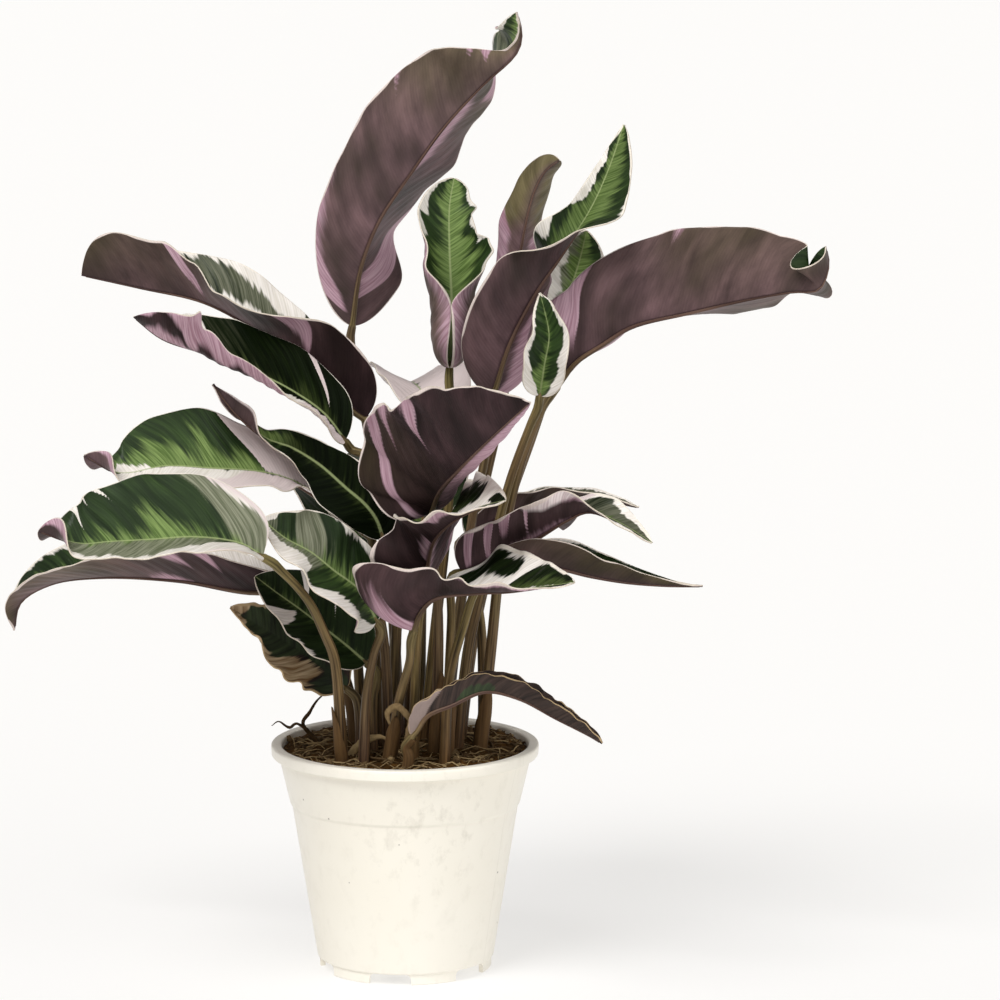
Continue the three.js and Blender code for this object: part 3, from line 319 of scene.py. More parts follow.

# %% [markdown]
# ## The marbling of each blade
# On the real blade white sectors run in from the margin, lime feathers run out from the midrib, and both end in
# teeth along the side veins. It could be one noise pattern for all, but then no leaf would look like itself. So a
# few keys for each half say, from base to tip: how far out the white begins (over 1 is none), how far out the lime
# reaches, and how silvery the green is. `olive` and `pale` tint the underside, and a third tint darkens both sides
# as painted shade where a leaf lies in shade, with less sheen there.

# %% The marbling keys
# Each key: place from base to tip, where the white begins, where the lime ends, how silvery, and where a white strip
# along the midrib ends (below 0 is none); the last ones may be left out. A shade key darkens a leaf with painted
# shade where it lies in shade and `trim` narrows, both halves alike or each with its own value. `cord` is the width
# of the pale edge in millimetres and `frill` the height of the edge's fine waves.
NO_LIME, NO_SILVER, NO_STRIP = 0, 0, -1
PLAIN = [[0, 1.3, 0.1]]
PAINT = {
    "top": dict(
        left=[[0, 1.3], [0.05, 1.3], [0.075, 0], [0.13, 0], [0.17, 0.7], [0.2, 1.3], [0.44, 1.3, 0, 0, -0.1],
          [0.5, 1.3, 0, 0, 0.24], [0.6, 1, 0, 0, 0.28], [0.66, 0.6, 0, 0, 0.28], [0.72, 0.9, 0, 0, 0],
          [0.8, 1.2, 0, 0.6, 0], [0.9, 0.75, 0.3, 0.3, 0.1]],
        right=[[0, 1.2], [0.025, 0.35], [0.055, 0.5], [0.08, 0.9], [0.14, 0.92], [0.2, 1.05], [0.3, 1.3], [0.46, 1.3],
          [0.485, 0.86], [0.51, 1.3], [0.71, 1.3], [0.735, 0.7], [0.755, 1.3], [0.785, 0.5], [0.81, 1.3]],
        olive=[[0, 0.1], [0.5, 0.1], [0.75, 0.6], [1, 0.9]], painted_shade=[[0, 0.28, 0], [0.75, 0.28, 0], [0.85, 0, 0]],
        cord=0.8),
    "upper_left": dict(
        left=[[0, 1.3], [0.21, 1.3], [0.245, 0.3], [0.29, 0.55], [0.33, 1.3], [0.57, 1.3], [0.59, 0.4], [0.61, 0.4],
          [0.63, 1.3]],
        right=[[0, 1.3], [0.2, 1.3, 0, 0.2], [0.26, 0.5, 0, 0.9], [0.36, 0.66, 0, 0.85, 0.25],
          [0.46, 0.84, 0, 0.65, 0.36], [0.56, 0.93, 0, 0.5, 0.34], [0.64, 0.93, 0.1, 0.4, 0.3],
          [0.72, 1.1, 0, 0.5, 0.5]], olive=[[0, 0], [0.45, 0.1], [0.7, 0.35], [1, 0.5]],
        painted_shade=[[0, 0.85], [0.2, 0.85], [0.45, 0.4], [0.7, 0.45], [1, 0.45]], cord=0.8),
    "left_high": dict(
        left=[[0, 0.1], [0.28, 0.2], [0.36, 0.62], [0.43, 0.45], [0.5, 0.78], [0.58, 0.5], [0.66, 0.6, 0, 0, 0.1],
          [0.72, 0.3, 0, 0, 0.2], [0.78, 0.85, 0, 0, 0.3], [0.85, 1.2, 0, 0, 0.45], [0.92, 0.7, 0, 0, 0.2], [1, 1]],
        right=[[0, 1.3, 0.1], [0.09, 1.3, 0.15], [0.115, 0.25, 0.1], [0.14, 1.3, 0.15], [0.33, 1.3, 0.1],
          [0.45, 1.3, 0.1, 0.3], [0.56, 1.2, 0.1, 0.3], [0.62, 0.5], [0.78, 0.4], [0.86, 1.3]],
        pale=[[0, -1], [0.2, -1], [0.28, 2]], painted_shade=[[0, 0.86]]),
    "left_mid": dict(
        left=[[0, 0.6, 0, 0.3], [0.2, 0.3, 0, 0.2], [0.3, 0.1], [0.45, 0], [0.85, 0], [0.92, 0.8], [1, 1.2]],
        right=[[0, 1.2, 0.2, 0.6], [0.12, 1.2, 0.1, 0.4], [0.17, 0.1, 0, 0, 0], [0.3, 0, 0, 0, 0],
          [0.385, 0, 0, 0, 0], [0.41, 1.2, 0.3], [0.5, 1.3, 0.25], [0.545, 1.3, 0.7], [0.6, 1.3, 0.1],
          [0.66, 1.3, 0.42], [0.72, 1.3, 0.55], [0.78, 1.3, 0.4, 0, 0.1], [0.84, 1.3, 0.4, 0, 0.28],
          [0.9, 1.2, 0.2, 0, 0.1], [1, 1.3]], pale=[[0, -1], [0.4, -1], [0.5, 0.4], [0.8, 2]]),
    "left_inner": dict(
        left=PLAIN, right=[[0, 1.3], [0.48, 1.3], [0.55, 1.3, 0.7], [0.7, 1.3, 0.8]],
        pale=[[0, 2], [0.6, 2], [0.7, 0.84], [1, 0.8]], painted_shade=[[0, 0.9], [0.55, 0.9], [0.68, 0.2], [1, 0.1]]),
    "left_low": dict(
        left=[[0, 0.1, 0, 0.5], [0.15, 0.2, 0, 0.3], [0.28, 0.6, 0, 0.8], [0.4, 0.9, 0, 1], [0.6, 0.88, 0, 1],
          [0.75, 0.8, 0, 0.9], [0.9, 0.6, 0, 0.9], [1, 0.8, 0, 0.2]],
        right=[[-0.05, 0.8, 0, 1.1], [0, 0.85, 0, 1.1], [0.05, 0.88, 0, 1.1], [0.12, 1.3, 0, 1.1],
          [0.16, 1.3, 0, 0.3], [0.22, 1.3], [0.32, 1.3, 0.1], [0.38, 1.3, 0.42], [0.46, 1.3, 0.5], [0.5, 1.2, 0.15],
          [0.53, 0.72, 0.1], [0.555, 1.3, 0.1], [0.61, 1.3], [0.635, 0.72, 0.1], [0.66, 1.3, 0.2], [0.725, 1.3],
          [0.755, 0.42], [0.785, 1.3], [1, 1.2, 0.1]], pale=[[-0.1, 0.8], [0.1, 0.86], [0.25, 2]]),
    "left_trailing": dict(
        left=[[0, 1.3], [0.11, 1.3], [0.15, 0.62], [0.19, 1.2], [0.25, 0.6], [0.3, 0.9, 0, 0, 0],
          [0.36, 1.2, 0, 0, 0.22], [0.42, 1.3, 0, 0, 0.1], [0.5, 1.3]],
        right=[[0, 0.5, 0.2], [0.6, 0.8, 0.3], [1, 1.2, 0.5]], olive=[[0, 0], [0.35, 0.1], [0.6, 0.55], [1, 0.5]],
        painted_shade=[[0, 0.85], [0.22, 0.65], [0.45, 0.25], [0.7, 0.1]], cord=1),
    "left_front": dict(
        left=[[0, 0.5, 0.1], [0.15, 0.6, 0.1], [0.3, 0.6, 0.1], [0.4, 0.85, 0.05], [0.5, 0.9, 0, 0.2],
          [0.56, 0.35, 0, 0.9], [0.68, 0.25, 0, 1], [0.8, 0.3, 0, 0.9], [1, 0.1, 0, 0.5]],
        right=[[0, 1.2, 0.2], [0.2, 0.86, 0.15], [0.4, 0.95, 0.15], [0.5, 1.2, 0.1, 0.4], [0.58, 1.2, 0, 1],
          [0.7, 1.3, 0, 1], [0.76, 1.3, 0, 0.1], [0.84, 1.3, 0, 0.1], [0.9, 0.5, 0, 0.6], [1, 0.2, 0, 0.8]],
        painted_shade=[[0, 0.15]], cord=0.9),
    "left_shade": dict(
        left=[[0, 1.3], [0.1, 0.92], [0.3, 0.95], [0.45, 1], [0.52, 0.5], [0.6, 0.1], [0.66, 0.6], [0.72, 1.3]],
        right=[[0, 1.3], [0.28, 1.3], [0.31, 0.3], [0.335, 1.3], [0.5, 1.2], [0.56, 0.2], [0.6, 1.2]], painted_shade=[[0, 0.5]]),
    "centre": dict(
        left=[[0, 0.3], [0.2, 0]],
        right=[[-0.1, 1.2], [-0.045, 1], [-0.012, 0.1], [0.02, 0.9], [0.045, 1.1], [0.07, 0.94], [0.09, 0.66],
          [0.115, 0.95], [0.16, 0.97], [0.2, 1.1], [0.27, 1.05], [0.3, 0.82], [0.325, 0.28], [0.345, 0.8],
          [0.38, 1.1], [0.85, 1.2]], olive=[[0, 0], [0.12, 0.5], [0.28, 0.5], [0.42, 0]], painted_shade=[[0, 0.78]], cord=1.3,
        frill=2.2),
    "front_cup": dict(
        left=[[0, 0.9, 0, 0, 0], [0.2, 0.84, 0, 0, 0.1], [0.36, 0.86, 0.3, 0, 0.1], [0.5, 0.8, 0.3, 0, 0.14],
          [0.66, 0.84, 0.1, 0, 0.25], [0.72, 0.5, 0, 0, 0.3], [0.76, 0, 0, 0, 0.3], [0.83, 0, 0, 0, 0.3],
          [0.88, 0.6, 0, 0, 0.1], [1, 0.6, 0, 0, 0]],
        right=[[0, 1.2], [0.17, 1.2], [0.24, 1.2, 0, 0, 0.24], [0.36, 1.2, 0, 0, 0.2], [0.4, 1.2, 0, 0, -0.5],
          [0.46, 1, 0, 0, -0.5], [0.52, 0.4, 0, 0, -0.5], [0.6, 0.55, 0.2, 0.3, -0.5], [0.7, 0.6, 0.4, 0.3, -0.5],
          [0.85, 0.6, 0.2, 0, -0.5], [1, 0.4, 0, 0, -0.5]], painted_shade=[[0, 0.78]], cord=1.9, frill=2.4),
    "front_low": dict(
        left=[[0, 0.6, 0, 0.5, 0], [0.2, 0.7, 0, 0.5, 0], [0.3, 0.95, 0, 0, 0.2], [0.4, 0.86, 0, 0, 0.4],
          [0.52, 0.8, 0, 0, 0.38], [0.56, 0.7, 0, 0, 0.35], [0.585, 0.1, 0, 0, 0.35], [0.61, 0.1, 0, 0, 0.2],
          [0.64, 0.8, 0.1, 0, 0], [0.72, 0.9, 0.3, 0, 0], [0.86, 0.9, 0.5, 0, 0.05], [1, 0.7, 0.5, 0, 0]],
        right=[[-0.2, 1.3, 0, 0, 0.75], [-0.03, 1.3, 0, 0, 0.66], [0.015, 1.3, 0, 0, 0.5], [0.05, 1.3, 0, 0, 0],
          [0.08, 1.3, 0, 0, -0.5], [0.3, 1.3], [0.4, 1], [0.6, 0.8, 0, 0.3], [1, 0.5, 0, 0.3]], painted_shade=[[0, 0.74]],
        cord=1.9, frill=2),
    "young": dict(
        left=[[0, 0.84, 0.2], [0.3, 0.84, 0.2], [0.4, 0.8, 0.1], [0.5, 1, 0.3], [0.6, 0.7, 0.1], [0.66, 0.95, 0.1],
          [0.72, 0.6, 0.1], [0.85, 0.85, 0.35], [1, 0.8, 0.3]],
        right=[[0, 0.8], [0.3, 0.8, 0.4], [0.4, 0.9, 0.3], [0.48, 1.1, 0.7], [0.54, 0.6, 0.4], [0.58, 1.1, 0.7, 0.3],
          [0.66, 0.7, 0.5], [0.72, 1.1, 0.8], [0.8, 0.8, 0.4], [0.9, 0.9, 0.6]], olive=[[0, 0.4], [1, 0.3]], cord=0.9,
        trim=[[0, 1, 1], [0.5, 1, 1], [0.58, 1, 1.08], [0.66, 1, 0.9], [0.7, 1, 0.62], [0.8, 1, 0.58], [0.86, 1, 0.8],
          [0.9, 1, 0.72], [1, 1, 1]]),
    "spear": dict(
        left=[[0, 0.2], [0.45, 0.3], [0.56, 1.3]], right=[[0, 0.4], [0.45, 0.55], [0.56, 1.3]],
        olive=[[0, 0], [0.5, 0.2], [0.65, 1.6], [1, 1.8]]),
    "twisted": dict(
        left=[[0, 0.3], [0.2, 0.3], [0.3, 0.5], [0.42, 1.1, 0.2], [0.5, 0.6, 0.3], [0.56, 1.1, 0.5], [0.64, 1, 0.7],
          [0.72, 0.5, 0.4], [0.85, 0.5, 0.3], [0.93, 1.2, 0.3], [1, 1, 0.3]],
        right=[[0, 1.3], [0.3, 1.3], [0.5, 1.2, 0.2], [0.6, 0.9, 0.5], [0.75, 1.1, 0.55], [1, 1.1, 0.4]],
        painted_shade=[[0, 0.3]], cord=0.9),
    "back_pale": dict(left=[[0, 0]], right=[[0, 0]], pale=[[0, -1]]),
    "small": dict(
        left=[[0, 0.3, 0.3], [0.15, 0.55, 0.6], [0.3, 0.75, 0.2], [0.6, 0.85], [1, 0.8]],
        right=[[0, 0.6, 0.4, 0.4], [0.3, 0.6, 0.1, 0.2], [0.45, 0.75], [0.8, 0.85], [1, 0.8]], cord=0.9),
    "right_inner": dict(
        left=[[0, 0.5, 0.1, 0.9], [0.4, 0.3, 0.1, 0.9], [0.7, 0.4, 0.3, 0.9], [1, 0.6, 0.3, 0.8]],
        right=[[0, 1.2, 0.2], [0.5, 0.9, 0.3], [1, 0.9, 0.4]]),
    "right_wing": dict(
        painted_shade=[[0, 0.2]], left=[[0, 0.8], [0.1, 0.9], [0.14, 1.3], [0.5, 1.3], [0.54, 1], [0.58, 1.3]],
        right=[[0, 0.2], [0.09, 0.3], [0.12, 1.3], [0.28, 1.3], [0.33, 0.92], [0.38, 1.3]],
        olive=[[0, 0], [0.3, 0.1], [0.6, 0.4], [1, 0.3]]),
    "right_mid": dict(
        left=[[0, 1.2], [0.4, 1], [0.6, 0.7, 0, 0.6], [0.7, 0.85, 0, 0.6], [0.8, 0.6, 0, 0.9], [1, 0.6, 0, 0.7]],
        right=[[-0.1, 1.2], [0, 1.2], [0.025, 0.1], [0.05, 0.1], [0.075, 1.2], [0.115, 1.2], [0.135, 0.1],
          [0.16, 0.1], [0.18, 1.2], [0.2, 1.2, 0, 0, -0.5], [0.22, 0.5, 0, 0, 0.08], [0.265, 0.5, 0, 0, 0.1],
          [0.285, 1.2, 0, 0, 0.1], [0.35, 1.2, 0, 0, 0.12], [0.375, 0.3, 0, 0, 0.14], [0.395, 1.2, 0, 0, 0.14],
          [0.48, 1, 0, 0, 0.1], [0.6, 0.7, 0, 0, 0], [0.7, 0.9, 0, 0.4], [1, 0.5, 0, 0.5]],
        pale=[[0.3, 1.1], [0.4, 0.75], [0.48, 0.6], [0.58, 0.62], [0.66, 1.1]], painted_shade=[[0, 0.58]], cord=1.6, frill=2),
    "right_sliver": dict(
        left=[[0, 0.9, 0, 0.5], [0.5, 0.9, 0, 1], [1, 0.7, 0, 1]], right=PLAIN, olive=[[0, 0.2], [1, 0.4]],
        painted_shade=[[0, 0.6]]),
    "right_folded": dict(
        left=[[0, 0.9, 0, 0.3], [1, 1.1]], right=PLAIN, olive=[[0, 0.4], [0.6, 0.6], [1, 1.2]], painted_shade=[[0, 0.55]]),
    "back_left": dict(left=PLAIN, right=[[0, 0.9, 0.3], [1, 1.1, 0.3]], painted_shade=[[0, 0.4]]),
    "back": dict(left=[[0, 0.7, 0.3], [0.6, 1.2, 0.4]], right=[[0, 1.2, 0.3], [0.5, 0.6, 0.2, 0.2]], painted_shade=[[0, 0.3]]),
    "back_right": dict(
        left=[[0, 1.2, 0.4], [0.6, 0.7, 0.3]], right=[[0, 0.8, 0.2], [0.5, 1.2, 0.4]], painted_shade=[[0, 0.3]]),
}
# The two dead leaves: where the tan begins, where the green ends; the rest is brown.
DRIED_PAINT = {
    "withered": dict(
        left=[[0, 1.1, 0.9], [0.1, 0.7, 0.6], [0.2, 0.05, 0.1], [0.38, 0.1, 0.1], [0.46, 0.6, 0.8], [0.6, 0.72, 1.2],
          [0.78, 0.66, 1.2], [0.88, 0.1, 0.2], [1, 0]], cord=1.5,
        right=[[0, 1.2, 0.5], [0.25, 0.4, 0.2], [0.4, 1, 1.2], [0.8, 0.95, 1.2], [0.9, 0.1, 0.1], [1, 0]]),
    "drooping": dict(
        left=[[0, 1.3, -0.1], [0.2, 1.4, -0.5], [0.32, 1.5, 0.5], [0.42, 1.5, 0.4], [0.5, 1.5, -0.5],
          [0.92, 1.4, -0.5], [1, 0.4]],
        right=[[0, 1.3, -0.1], [0.2, 1.4, -0.5], [0.32, 1.5, 0.5], [0.42, 1.5, 0.4], [0.5, 1.5, -0.5],
          [0.92, 1.4, -0.5], [1, 0.4]], pale=[[0, -0.5], [0.1, -0.2], [0.2, 1.2]], cord=0.25),
}
for paint in (*PAINT.values(), *DRIED_PAINT.values()):
    for side in ("left", "right"):
        paint[side] = [key + [NO_LIME, NO_SILVER, NO_STRIP][len(key) - 2 :] for key in paint[side]]
print("blades with their own marbling:", len(PAINT) + len(DRIED_PAINT))

# %% [markdown]
# ## Smooth paths
# A midrib and a stalk are both smooth lines through a few points. A Bezier curve would do, but the CAD model uses a
# centripetal Catmull-Rom curve read by its length, and the pieces have to lie exactly on it, so that is what
# `Path` works out, in millimetres.

# %% Paths and keys
class Path:
    """A centripetal Catmull-Rom curve through points; place and heading are read by the share of its length."""

    DIVISIONS = 200
    TINY = 1e-4

    def __init__(self, points):
        inner = [Vector(p) for p in points]
        self.points = [2 * inner[0] - inner[1], *inner, 2 * inner[-1] - inner[-2]]
        self.spans = len(inner) - 1
        marks = [self.raw(k / self.DIVISIONS) for k in range(self.DIVISIONS + 1)]
        self.reached = reached_lengths(marks)
        self.length = self.reached[-1]

    def raw(self, t):
        at = self.spans * min(max(t, 0.0), 1.0)
        k = min(int(at), self.spans - 1)
        w = at - k
        a, b, c, d = self.points[k : k + 4]
        first, middle, last = [(q - p).length_squared**0.25 for p, q in ((a, b), (b, c), (c, d))]
        middle = middle if middle > self.TINY else 1.0
        first = first if first > self.TINY else middle
        last = last if last > self.TINY else middle
        start = ((b - a) / first - (c - a) / (first + middle) + (c - b) / middle) * middle
        end = ((c - b) / middle - (d - b) / (middle + last) + (d - c) / last) * middle
        return b + start * w + (3 * (c - b) - 2 * start - end) * w**2 + (2 * (b - c) + start + end) * w**3

    def share(self, u):
        aim = min(max(u, 0.0), 1.0) * self.length
        low, high = 0, self.DIVISIONS
        while high - low > 1:
            k = (low + high) // 2
            low, high = (k, high) if self.reached[k] <= aim else (low, k)
        step = self.reached[low + 1] - self.reached[low]
        return (low + (aim - self.reached[low]) / step) / self.DIVISIONS

    def place(self, u):
        return self.raw(self.share(u))

    def heading(self, u):
        t = self.share(u)
        return (self.raw(t + self.TINY) - self.raw(t - self.TINY)).normalized()


def reached_lengths(places):
    """How far along the line each of its places is."""
    reached = [0.0]
    for before, after in zip(places, places[1:]):
        reached.append(reached[-1] + (after - before).length)
    return reached


def between(keys, t):
    """The values of the keys at t, eased from each key to the next."""
    k = 0
    while k < len(keys) - 2 and t > keys[k + 1][0]:
        k += 1
    before, after = keys[k], keys[min(k + 1, len(keys) - 1)]
    w = min(max((t - before[0]) / max(after[0] - before[0], 1e-6), 0.0), 1.0)
    w = w * w * (3 - 2 * w)
    mixed = []
    for one, two in zip(before[1:], after[1:]):
        if isinstance(one, list):
            mixed.append(Vector(one).lerp(Vector(two), w))
        else:
            mixed.append(one + (two - one) * w)
    return mixed


def finish_piece(name, bm, materials, node_name=None, smooth=True):
    """Turn a bmesh in millimetres into an object at the origin that rides on the plant."""
    bmesh.ops.scale(bm, vec=(MM, MM, MM), verts=bm.verts)
    data = mesh_of(name, bm)
    for face in data.polygons:
        face.use_smooth = smooth
    for material in materials:
        data.materials.append(material)
    piece = add_object(name, data)
    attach(piece, "root")
    if node_name:
        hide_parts(node_name)
    return piece


def thicken(piece, thickness, offset):
    """Give a sheet its thickness in millimetres, shared by both sides (offset 0) or outwards (1)."""
    sheet = piece.modifiers.new("thickness", "SOLIDIFY")
    sheet.thickness, sheet.offset = thickness * MM, offset
    return sheet


# %% [markdown]
# ## The blade's upper side
# A calathea blade is satin, with a waxy skin over marbled tissue: near-white where it has no chlorophyll, lime where
# it has little, deep green elsewhere. The pattern could be painted by hand, but here each vertex carries how far it
# is inside the white, the lime and the silver, and noise drawn out along the side veins gives the borders teeth.
# The vein coordinates are in millimetres: x counts veins along the midrib and y runs out along them.

# %% Shared parts of the blade materials
VEIN_GAP = 6.5  # between the main side veins
FINE_VEIN_GAP = 1.6
VEIN_WOBBLE = 1.2  # how far the fine veins stray from straight


def vein_noise(tree, along, across, detail=2.0):
    """Noise whose blotches are `across` mm wide between veins and `along` mm long on a vein."""
    vein = node(tree, "Attribute", attribute_name="vein").outputs["Vector"]
    moved = node(tree, "Mapping", {"Vector": vein, "Scale": (1 / across, 1 / along, 1)})
    return node(tree, "TexNoise", {"Vector": moved, "Scale": 1.0, "Detail": detail, "Roughness": 0.55})


def stretched(tree, grain, low=0.35, high=0.65):
    """Noise stretched so that both of the colours that it mixes are seen."""
    return node(tree, "MapRange", {"Value": grain, "From Min": low, "From Max": high})


def toothed(tree, field, softness, *parts):
    """A mask from a painted field, its border pushed about by noises, each given as (noise, how far)."""
    middle = 0.0
    for grain, push in parts:
        field = node(tree, "Math", {0: grain, 1: push, 2: field}, operation="MULTIPLY_ADD")
        middle += push / 2
    ends = {"Value": field, "From Min": middle - softness, "From Max": middle + softness}
    return node(tree, "MapRange", ends, interpolation_type="SMOOTHSTEP")


def blade_fields(tree):
    """What a blade's vertices carry: the painted fields, the tints with the painted shade, and the edge in widths of
    its cord.
    """
    paint = node(tree, "Attribute", attribute_name="paint").outputs
    tint = node(tree, "Attribute", attribute_name="tint").outputs["Vector"]
    margin = node(tree, "Attribute", attribute_name="margin").outputs["Fac"]
    fields = node(tree, "SeparateColor", {0: paint["Color"]}).outputs
    tints = node(tree, "SeparateXYZ", {0: tint}).outputs
    cord = node(tree, "Math", {0: margin, 1: paint["Alpha"]}, operation="DIVIDE")
    return fields, tints, cord


def with_painted_shade(tree, shader, colour, depth, fullest_shade, shine, least_shine):
    """The colour darkened by painted shade where a leaf lies in shade, with less specular sheen there."""
    # painted shade: a multiplier that runs from white to the fullest shade colour
    shade_multiplier = layered(tree, "#ffffff", (depth, fullest_shade))
    # less specular sheen where the shade is painted, so the darkened leaves stay dark
    wax = node(tree, "MapRange", {"Value": depth, "To Min": shine, "To Max": least_shine})
    feed(tree, shader, {"Specular IOR Level": wax})
    return layered(tree, colour, (1.0, shade_multiplier), blend_type="MULTIPLY")


def finely_veined(tree, shader, colour, hairlines, hair_share, darkest):
    """Link the colour, shaded and raised along the fine side veins."""
    vein = node(tree, "Attribute", attribute_name="vein").outputs["Vector"]
    along = node(tree, "SeparateXYZ", {0: vein}).outputs[0]
    bent = node(tree, "Math", {0: vein_noise(tree, 20, 9), 1: VEIN_WOBBLE, 2: along}, operation="MULTIPLY_ADD")
    turned = node(tree, "Math", {0: bent, 1: 2 * math.pi / FINE_VEIN_GAP}, operation="MULTIPLY")
    ridges = node(tree, "Math", {0: turned}, operation="SINE")
    lit = node(tree, "MapRange", {"Value": ridges, "From Min": -1.0, "To Min": darkest, "To Max": 1.02})
    height = node(tree, "Math", {0: hairlines, 1: hair_share, 2: ridges}, operation="MULTIPLY_ADD")
    bump = node(tree, "Bump", {"Height": height, "Strength": 0.2, "Distance": 0.1 * MM})
    colour = layered(tree, colour, (1.0, lit), blend_type="MULTIPLY")
    feed(tree, shader, {"Base Color": colour, "Normal": bump})


# %% The upper side's material
def upper_skin():
    """Waxy leaf skin over white, lime and green tissue."""
    material, tree, shader = start_material("calathea blade, waxy marbled upper skin", 0.42)
    fields, tints, cord = blade_fields(tree)
    midrib = node(tree, "Attribute", attribute_name="midrib").outputs["Fac"]
    teeth = vein_noise(tree, 45, 7)
    streaks = vein_noise(tree, 22, 2.2, 4.0)
    hairlines = vein_noise(tree, 16, 0.8, 3.0)
    clouds = vein_noise(tree, 30, 22)
    wide, narrow, fine = (stretched(tree, grain) for grain in (clouds, streaks, hairlines))

    dark = layered(tree, "#1b2a12", (narrow, layered(tree, "#24351a", (wide, "#3d5329"))))
    lime = layered(tree, "#4e652f", (fine, "#839a59"))
    silver = layered(tree, "#5a6048", (fine, "#91937d"))
    white = layered(tree, "#dcd5ca", (fine, "#f4eee8"), (tints[1], "#dccdcb"))
    lime_mask = toothed(tree, fields[1], 0.2, (streaks, 1.0), (teeth, 0.5))
    silvered = node(tree, "Math", {0: fields[2], 1: 0.5}, operation="SUBTRACT")
    silver_mask = toothed(tree, silvered, 0.2, (streaks, 1.1), (clouds, 0.5))
    white_mask = toothed(tree, fields[0], 0.05, (streaks, 0.4), (teeth, 0.4))
    rib_mask = node(tree, "MapRange", {"Value": midrib, "From Min": 1.0, "From Max": 0.5, "To Max": 0.8})
    edge_mask = node(tree, "MapRange", {"Value": cord, "From Min": 1.3, "From Max": 0.9})

    colour = layered(tree, dark, (silver_mask, silver), (lime_mask, lime))
    # painted shade: the third tint darkens the leaves that lie in shade towards this colour
    colour = with_painted_shade(tree, shader, colour, tints[2], "#4b453f", 0.24, 0.03)
    colour = layered(tree, colour, (white_mask, white), (rib_mask, "#9fab78"), (edge_mask, "#efe7da"))
    finely_veined(tree, shader, colour, hairlines, 0.5, 0.96)
    gloss = node(tree, "MapRange", {"Value": streaks, "To Min": 0.34, "To Max": 0.52})
    feed(tree, shader, {"Roughness": gloss})
    return material


# %% [markdown]
# ## The blade's underside
# Underneath, the tissue is full of plum pigment. It is dusky, almost brown, where the upper side is green, and pink
# where it is white, because there the pigment shows alone. The same painted fields drive it, so both sides agree.
# Fine side veins stand up as a bump, with painted light and shade across them in fine lines, and the skin is a little
# velvety.

# %% The underside's material
def under_skin():
    """Velvety plum leaf skin, pink under the white sectors."""
    material, tree, shader = start_material("calathea blade, velvety plum underside", 0.5)
    fields, tints, cord = blade_fields(tree)
    midrib = node(tree, "Attribute", attribute_name="midrib").outputs["Fac"]
    teeth = vein_noise(tree, 45, 7)
    streaks = vein_noise(tree, 24, 2.4, 4.0)
    hairlines = vein_noise(tree, 18, 0.9, 3.0)
    wide, fine = stretched(tree, vein_noise(tree, 34, 26)), stretched(tree, hairlines)
    mottling = stretched(tree, vein_noise(tree, 13, 8, 6.0), 0.25, 0.75)
    narrow = node(tree, "Mix", {0: 0.7, 2: stretched(tree, streaks, 0.1, 0.9), 3: mottling})

    plum = layered(tree, "#403133", (narrow, layered(tree, "#3a302c", (wide, "#927277"))))
    olive = layered(tree, "#453e2b", (narrow, "#857a57"))
    pink = layered(tree, "#a17b89", (fine, "#caa9b6"))
    pale = layered(tree, "#cdbabb", (fine, "#ebe0de"))
    pink_mask = toothed(tree, fields[0], 0.14, (streaks, 0.3), (teeth, 0.25))
    rib_mask = node(tree, "MapRange", {"Value": midrib, "From Min": 1.6, "From Max": 0.9, "To Max": 0.6})
    edge_mask = node(tree, "MapRange", {"Value": cord, "From Min": 1.3, "From Max": 0.9})

    colour = layered(tree, plum, (tints[0], olive))
    # painted shade: the third tint darkens the undersides that lie in shade towards this colour
    colour = with_painted_shade(tree, shader, colour, tints[2], "#615555", 0.22, 0.04)
    colour = layered(tree, colour, (pink_mask, pink), (tints[1], pale), (rib_mask, "#3a2a2c"), (edge_mask, "#dfd0c9"))
    finely_veined(tree, shader, colour, hairlines, 0.4, 0.95)
    feed(tree, shader, {"Sheen Weight": 0.05, "Sheen Roughness": 0.4, "Sheen Tint": "#e6d6dc"})
    return material


# %% [markdown]
# ## The cut edge and the dried leaves
# The rim of each blade is a thin colourless cord of tissue, which reads as a fine cream line. Two leaves have died
# back: they are brown and tan, papery, with what is left of the green in streaks along the veins.

# %% The edge's and the dried leaves' materials
def blade_edge():
    """The colourless cord round a blade."""
    material, tree, shader = start_material("calathea blade, colourless edge", 0.5)
    feed(tree, shader, {"Base Color": layered(tree, "#b5a48f", (vein_noise(tree, 4, 3), "#efe6d8"))})
    return material


def dried_skin():
    """Papery dead leaf."""
    material, tree, shader = start_material("dried leaf, papery brown", 0.75)
    fields, tints, cord = blade_fields(tree)
    streaks = vein_noise(tree, 26, 2.2, 5.0)
    clouds = vein_noise(tree, 30, 12)
    narrow = stretched(tree, streaks)
    brown = layered(tree, "#1c110c", (narrow, "#47362f"))
    tan = layered(tree, "#80623e", (narrow, "#d9c29c"))
    green = layered(tree, "#171f10", (narrow, "#3b4a2b"))
    tan_mask = toothed(tree, fields[0], 0.08, (streaks, 0.7), (clouds, 0.5))
    green_mask = toothed(tree, fields[1], 0.08, (streaks, 0.8), (clouds, 0.5))
    edge_mask = node(tree, "MapRange", {"Value": cord, "From Min": 1.3, "From Max": 0.7})
    colour = layered(tree, brown, (green_mask, green), (tan_mask, tan), (tints[1], "#8f7e78"), (edge_mask, "#bfa57d"))
    bump = node(tree, "Bump", {"Height": streaks, "Strength": 0.8, "Distance": 0.6 * MM})
    feed(tree, shader, {"Base Color": colour, "Normal": bump})
    return material


UPPER, UNDER, EDGE, DRIED = upper_skin(), under_skin(), blade_edge(), dried_skin()
print("blade materials:", [made.name for made in (UPPER, UNDER, EDGE, DRIED)])

